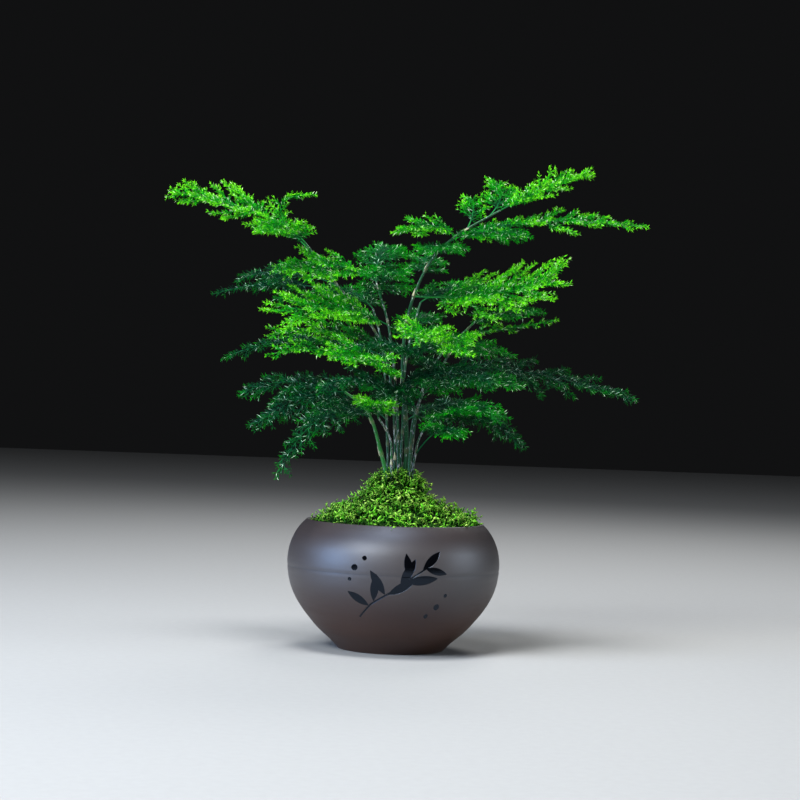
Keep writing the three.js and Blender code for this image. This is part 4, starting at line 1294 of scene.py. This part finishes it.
mound = turned_mesh("moss_mound", mound_outline(), MOUND_SIDES)
coordinates = np.empty(len(mound.vertices) * 3)
mound.vertices.foreach_get("co", coordinates)
coordinates = coordinates.reshape(-1, 3)
bearing = np.arctan2(coordinates[:, 1], coordinates[:, 0])
away = np.hypot(coordinates[:, 0], coordinates[:, 1])
reach = away / MOUND_REACH
lumps = 0.8 * np.sin(3 * bearing + 9 * reach) + 0.6 * np.sin(7 * bearing - 14 * reach)
lumps += 0.4 * np.sin(13 * bearing + 4)
radii, heights = np.array(MOUND[::-1]).T * MM
is_top = abs(coordinates[:, 2] - np.interp(away, radii, heights)) < CLEARANCE
coordinates[:, 2] += np.where(is_top, lumps * np.clip(3 * reach - 0.75, 0, 1) * MM, 0)
mound.vertices.foreach_set("co", coordinates.ravel())
bed = mound.attributes.new("bed", "FLOAT", "POINT")
bed.data.foreach_set("value", is_top.astype(np.float32))
print("mound faces:", len(mound.polygons))

# %% Draw a shoot of moss
BENDS = [(0.5, 0.9), (1.1, -0.7), (-0.6, 1.3), (0.9, 1.6)]
LEAVES_A_SHOOT = 6
LEAF_LEAN = 0.85
LEAF_TURN = 2.4
SHOOT_SIDES = 3
SHOOT_RADIUS = 0.08


def moss_shoot(net, bend, curl, number):
    """A bent stalk of unit length with small leaves along it, as an instance."""
    middle, end = (0.3 * bend, -0.2 * curl, 0.7), (0.75 * bend, 0.35 * curl, 0.85)
    sockets = {"Resolution": 5, "Start": (0, 0, -0.1), "Middle": middle, "End": end}
    line = net.node("GeometryNodeCurveQuadraticBezier", {}, sockets)
    along = net.node("GeometryNodeSplineParameter")
    line = store(net, line, "tip", along)
    tube = skin_along(net, line, SHOOT_SIDES, SHOOT_RADIUS, 1 - along * 0.75)
    sockets = {"Curve": line, "Count": LEAVES_A_SHOOT}
    stops = net.node("GeometryNodeCurveToPoints", {"mode": "COUNT"}, sockets)
    turn = net.node("GeometryNodeInputIndex") * LEAF_TURN + 1.3 * number
    turned = turned_by(net, facing(net, stops.output("Tangent")), Y=LEAF_LEAN, Z=turn)
    leaves = copies_on(net, stops, spindle(net, 0.22, (0.05, 0.14, 0.31)), turned)
    leaves = store(net, leaves, "glint", chance(net, 0.0, 1.0, 20 + number), "INSTANCE")
    leaves = net.node("GeometryNodeRealizeInstances", {}, {"Geometry": leaves})
    whole = net.node("GeometryNodeJoinGeometry", {}, {"Geometry": [tube, leaves]})
    return net.node("GeometryNodeGeometryToInstance", {}, {"Geometry": whole})


# %% Build the tree for moss
CROWN_BAND = (71 * MM, 75 * MM)
RIM_BAND = (63.5 * MM, 61.5 * MM)
STRAY_ABOVE = 0.985

moss_net, inputs = new_tree(
    "moss_tree", Spacing=1.0 * MM, Density=1.0e6, Shoot_length=5.0 * MM, Lean=0.95, Seed=5
)
seed = inputs.output("Seed")
shoots = [moss_shoot(moss_net, bend, curl, k) for k, (bend, curl) in enumerate(BENDS)]
shoots = moss_net.node("GeometryNodeJoinGeometry", {}, {"Geometry": shoots})
spot = height_there(moss_net)
on_crown = moss_net.between(spot, *CROWN_BAND)
spread = moss_net.node(
    "GeometryNodeDistributePointsOnFaces",
    {"distribute_method": "POISSON"},
    {
        "Mesh": inputs,
        "Selection": is_marked(moss_net, "bed"),
        "Distance Min": inputs.output("Spacing"),
        "Density Max": inputs.output("Density"),
        "Density Factor": 0.4 + on_crown * 0.6,
        "Seed": seed,
    },
)
lift = {0: spread.output("Normal"), 1: (0, 0, 0.4)}
lifted = moss_net.node("ShaderNodeVectorMath", {"operation": "ADD"}, lift)
turned = turned_by(
    moss_net,
    facing(moss_net, lifted),
    X=chance(moss_net, -1.0, 1.0, seed + 1) * inputs.output("Lean"),
    Y=chance(moss_net, -1.0, 1.0, seed + 2) * inputs.output("Lean"),
    Z=chance(moss_net, 0.0, math.tau, seed + 3),
)
is_stray = chance(moss_net, 0.0, 1.0, seed + 7).math("GREATER_THAN", STRAY_ABOVE)
on_edge = moss_net.between(spot, *RIM_BAND)
height = inputs.output("Shoot length") * (chance(moss_net, 0.6, 1.25, seed + 4) + is_stray * 0.5)
height = height * (1 - on_crown * 0.2) * (1 - on_edge * 0.3)
which_sockets = {4: 0, 5: len(BENDS) - 1, 8: seed + 5}
which = moss_net.node("FunctionNodeRandomValue", {"data_type": "INT"}, which_sockets, output=2)
pick = {"Pick_Instance": True, "Instance_Index": which}
scattered = copies_on(moss_net, spread, shoots, turned, Scale=height, **pick)
scattered = store(moss_net, scattered, "fresh", chance(moss_net, 0.0, 1.0, seed + 6), "INSTANCE")
scattered = store(moss_net, scattered, "bed", 0.0, "INSTANCE")
scattered = smoothed(moss_net, scattered)
print("nodes in the moss's tree:", len(moss_net.tree.nodes))

# %% [markdown]
# Each shoot is a little fresher or older than the next, from a rare brown through a strong green to a light
# yellow green. It is dark at its foot, with painted shade where little light reaches, and lighter towards
# its tip, and some of its leaves carry a painted glint. The mound beneath is painted a dark green, as shade
# under the shoots.

# %% Finish the moss
moss_green, net, surface = new_finish("moss_green", IOR=1.2)
place = own_place(net)
patches = noise(net, place, 7 * MM, 3)
fresh = told(net, "fresh") * 0.7 + patches * 0.8 - 0.25
young_moss = net.node(
    "ShaderNodeValToRGB",
    {
        "stops": [
            (0.0, (0.120, 0.075, 0.020)),
            (0.06, (0.006, 0.030, 0.001)),
            (0.3, (0.004, 0.085, 0.001)),
            (0.6, (0.009, 0.17, 0.001)),
            (0.85, (0.08, 0.60, 0.002)),
            (1.0, (0.30, 0.90, 0.02)),
        ]
    },
    {"Fac": fresh},
)
tip = told(net, "tip")
body = net.mix(tip * tip * tip * 0.5, young_moss, (0.46, 0.90, 0.10))
# Painted glints: a few leaves near the tips turned pale yellow green, standing in for highlights.
glint = (told(net, "glint") + told(net, "fresh") * 9).math("FRACT")
body = net.mix(net.between(glint, 0.90, 0.91) * tip * 0.8, body, (0.62, 0.94, 0.16))
body = net.mix(net.between(tip, 0.75, 0.08) * 0.96, body, (0.001, 0.012, 0.0005))
crumbs = noise(net, place, 1.1 * MM, 3, 0.6)
# Painted shade: the mound under the shoots is coloured dark green, as if little light reaches it.
painted_shade_bed = net.mix(net.between(crumbs, 0.4, 0.65), (0.004, 0.030, 0.002), (0.020, 0.075, 0.005))
body = net.mix(told(net, "bed"), body, painted_shade_bed)
feed(net, surface, Base_Color=body, Roughness=0.55 + patches * 0.2, Normal=bump(net, crumbs, 0.4 * MM, 0.6))

# %% Grow the moss
close_tree(moss_net, [inputs, scattered], moss_green)
moss_mesh = grow("moss", mound, moss_net)
new_piece("curly_moss", moss_mesh, "moss", "moss")

# %% [markdown]
# ## Floor and light
#
# A plain pale floor, dark surroundings and five soft lights. The two strongest come from above, one of them
# from the left in front. A bluish one, low on the left, brings out the sheen of the bowl. A weak one fills
# the right, and one behind and above draws a rim on the canes and needles.

# %% Lay the floor
FLOOR_SIZE = 3.0
floor_mesh = bpy.data.meshes.new("studio_floor")
corners = [(x * FLOOR_SIZE, y * FLOOR_SIZE, 0) for x, y in ((-1, -1), (1, -1), (1, 1), (-1, 1))]
floor_mesh.from_pydata(corners, [], [(0, 1, 2, 3)])
floor = bpy.data.objects.new("studio_floor", floor_mesh)
bpy.context.collection.objects.link(floor)
paper, net, surface = new_finish("pale_paper", Specular_IOR_Level=0.2)
fleck = noise(net, own_place(net), 4 * MM, 2)
body = net.mix(fleck, (0.30, 0.30, 0.295), (0.33, 0.33, 0.325))
feed(net, surface, Base_Color=body, Roughness=0.8 + fleck * 0.05)
floor_mesh.materials.append(paper)
floor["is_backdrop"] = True


# %% Hang the lights
def area_light(name, place, aim, size, power, colour):
    data = bpy.data.lights.new(name, "AREA")
    data.shape = "DISK"
    data.size = size
    data.energy = power
    data.color = colour
    light = bpy.data.objects.new(name, data)
    light.location = place
    light.rotation_euler = (Vector(aim) - Vector(place)).to_track_quat("-Z", "Y").to_euler()
    bpy.context.collection.objects.link(light)


area_light("key", (-0.5, -0.75, 0.8), (0, 0, 0.12), 0.5, 15, (0.92, 0.96, 1.0))
area_light("side", (-0.92, -0.45, 0.28), (0, 0, 0.06), 0.55, 9, (0.40, 0.62, 1.0))
area_light("top", (-0.1, -0.3, 1.15), (0, 0, 0.15), 0.4, 17, (0.97, 0.98, 1.0))
area_light("fill", (0.95, -0.16, 0.3), (0, 0, 0.08), 0.5, 3, (0.80, 0.90, 1.0))
area_light("rim", (0.25, 0.8, 0.9), (0, 0, 0.15), 0.5, 6, (1.0, 1.0, 1.0))
WORLD_STRENGTH = 0.006
world = bpy.data.worlds.new("studio")
world.use_nodes = True
background = world.node_tree.nodes["Background"]
background.inputs["Color"].default_value = (0.92, 0.95, 1.0, 1)
background.inputs["Strength"].default_value = WORLD_STRENGTH
bpy.context.scene.world = world
bpy.context.scene.view_settings.view_transform = "Standard"

# %% Work out the sizes and finish
visual_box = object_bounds()
sizes = {"cad": [list(corner) for corner in cad_box], "visual": [list(corner) for corner in visual_box]}
for axis in range(3):
    low = (visual_box[0][axis] - cad_box[0][axis]) / MM
    high = (visual_box[1][axis] - cad_box[1][axis]) / MM
    print("past the solids on axis", axis, "by", round(-low, 1), "and", round(high, 1), "mm")
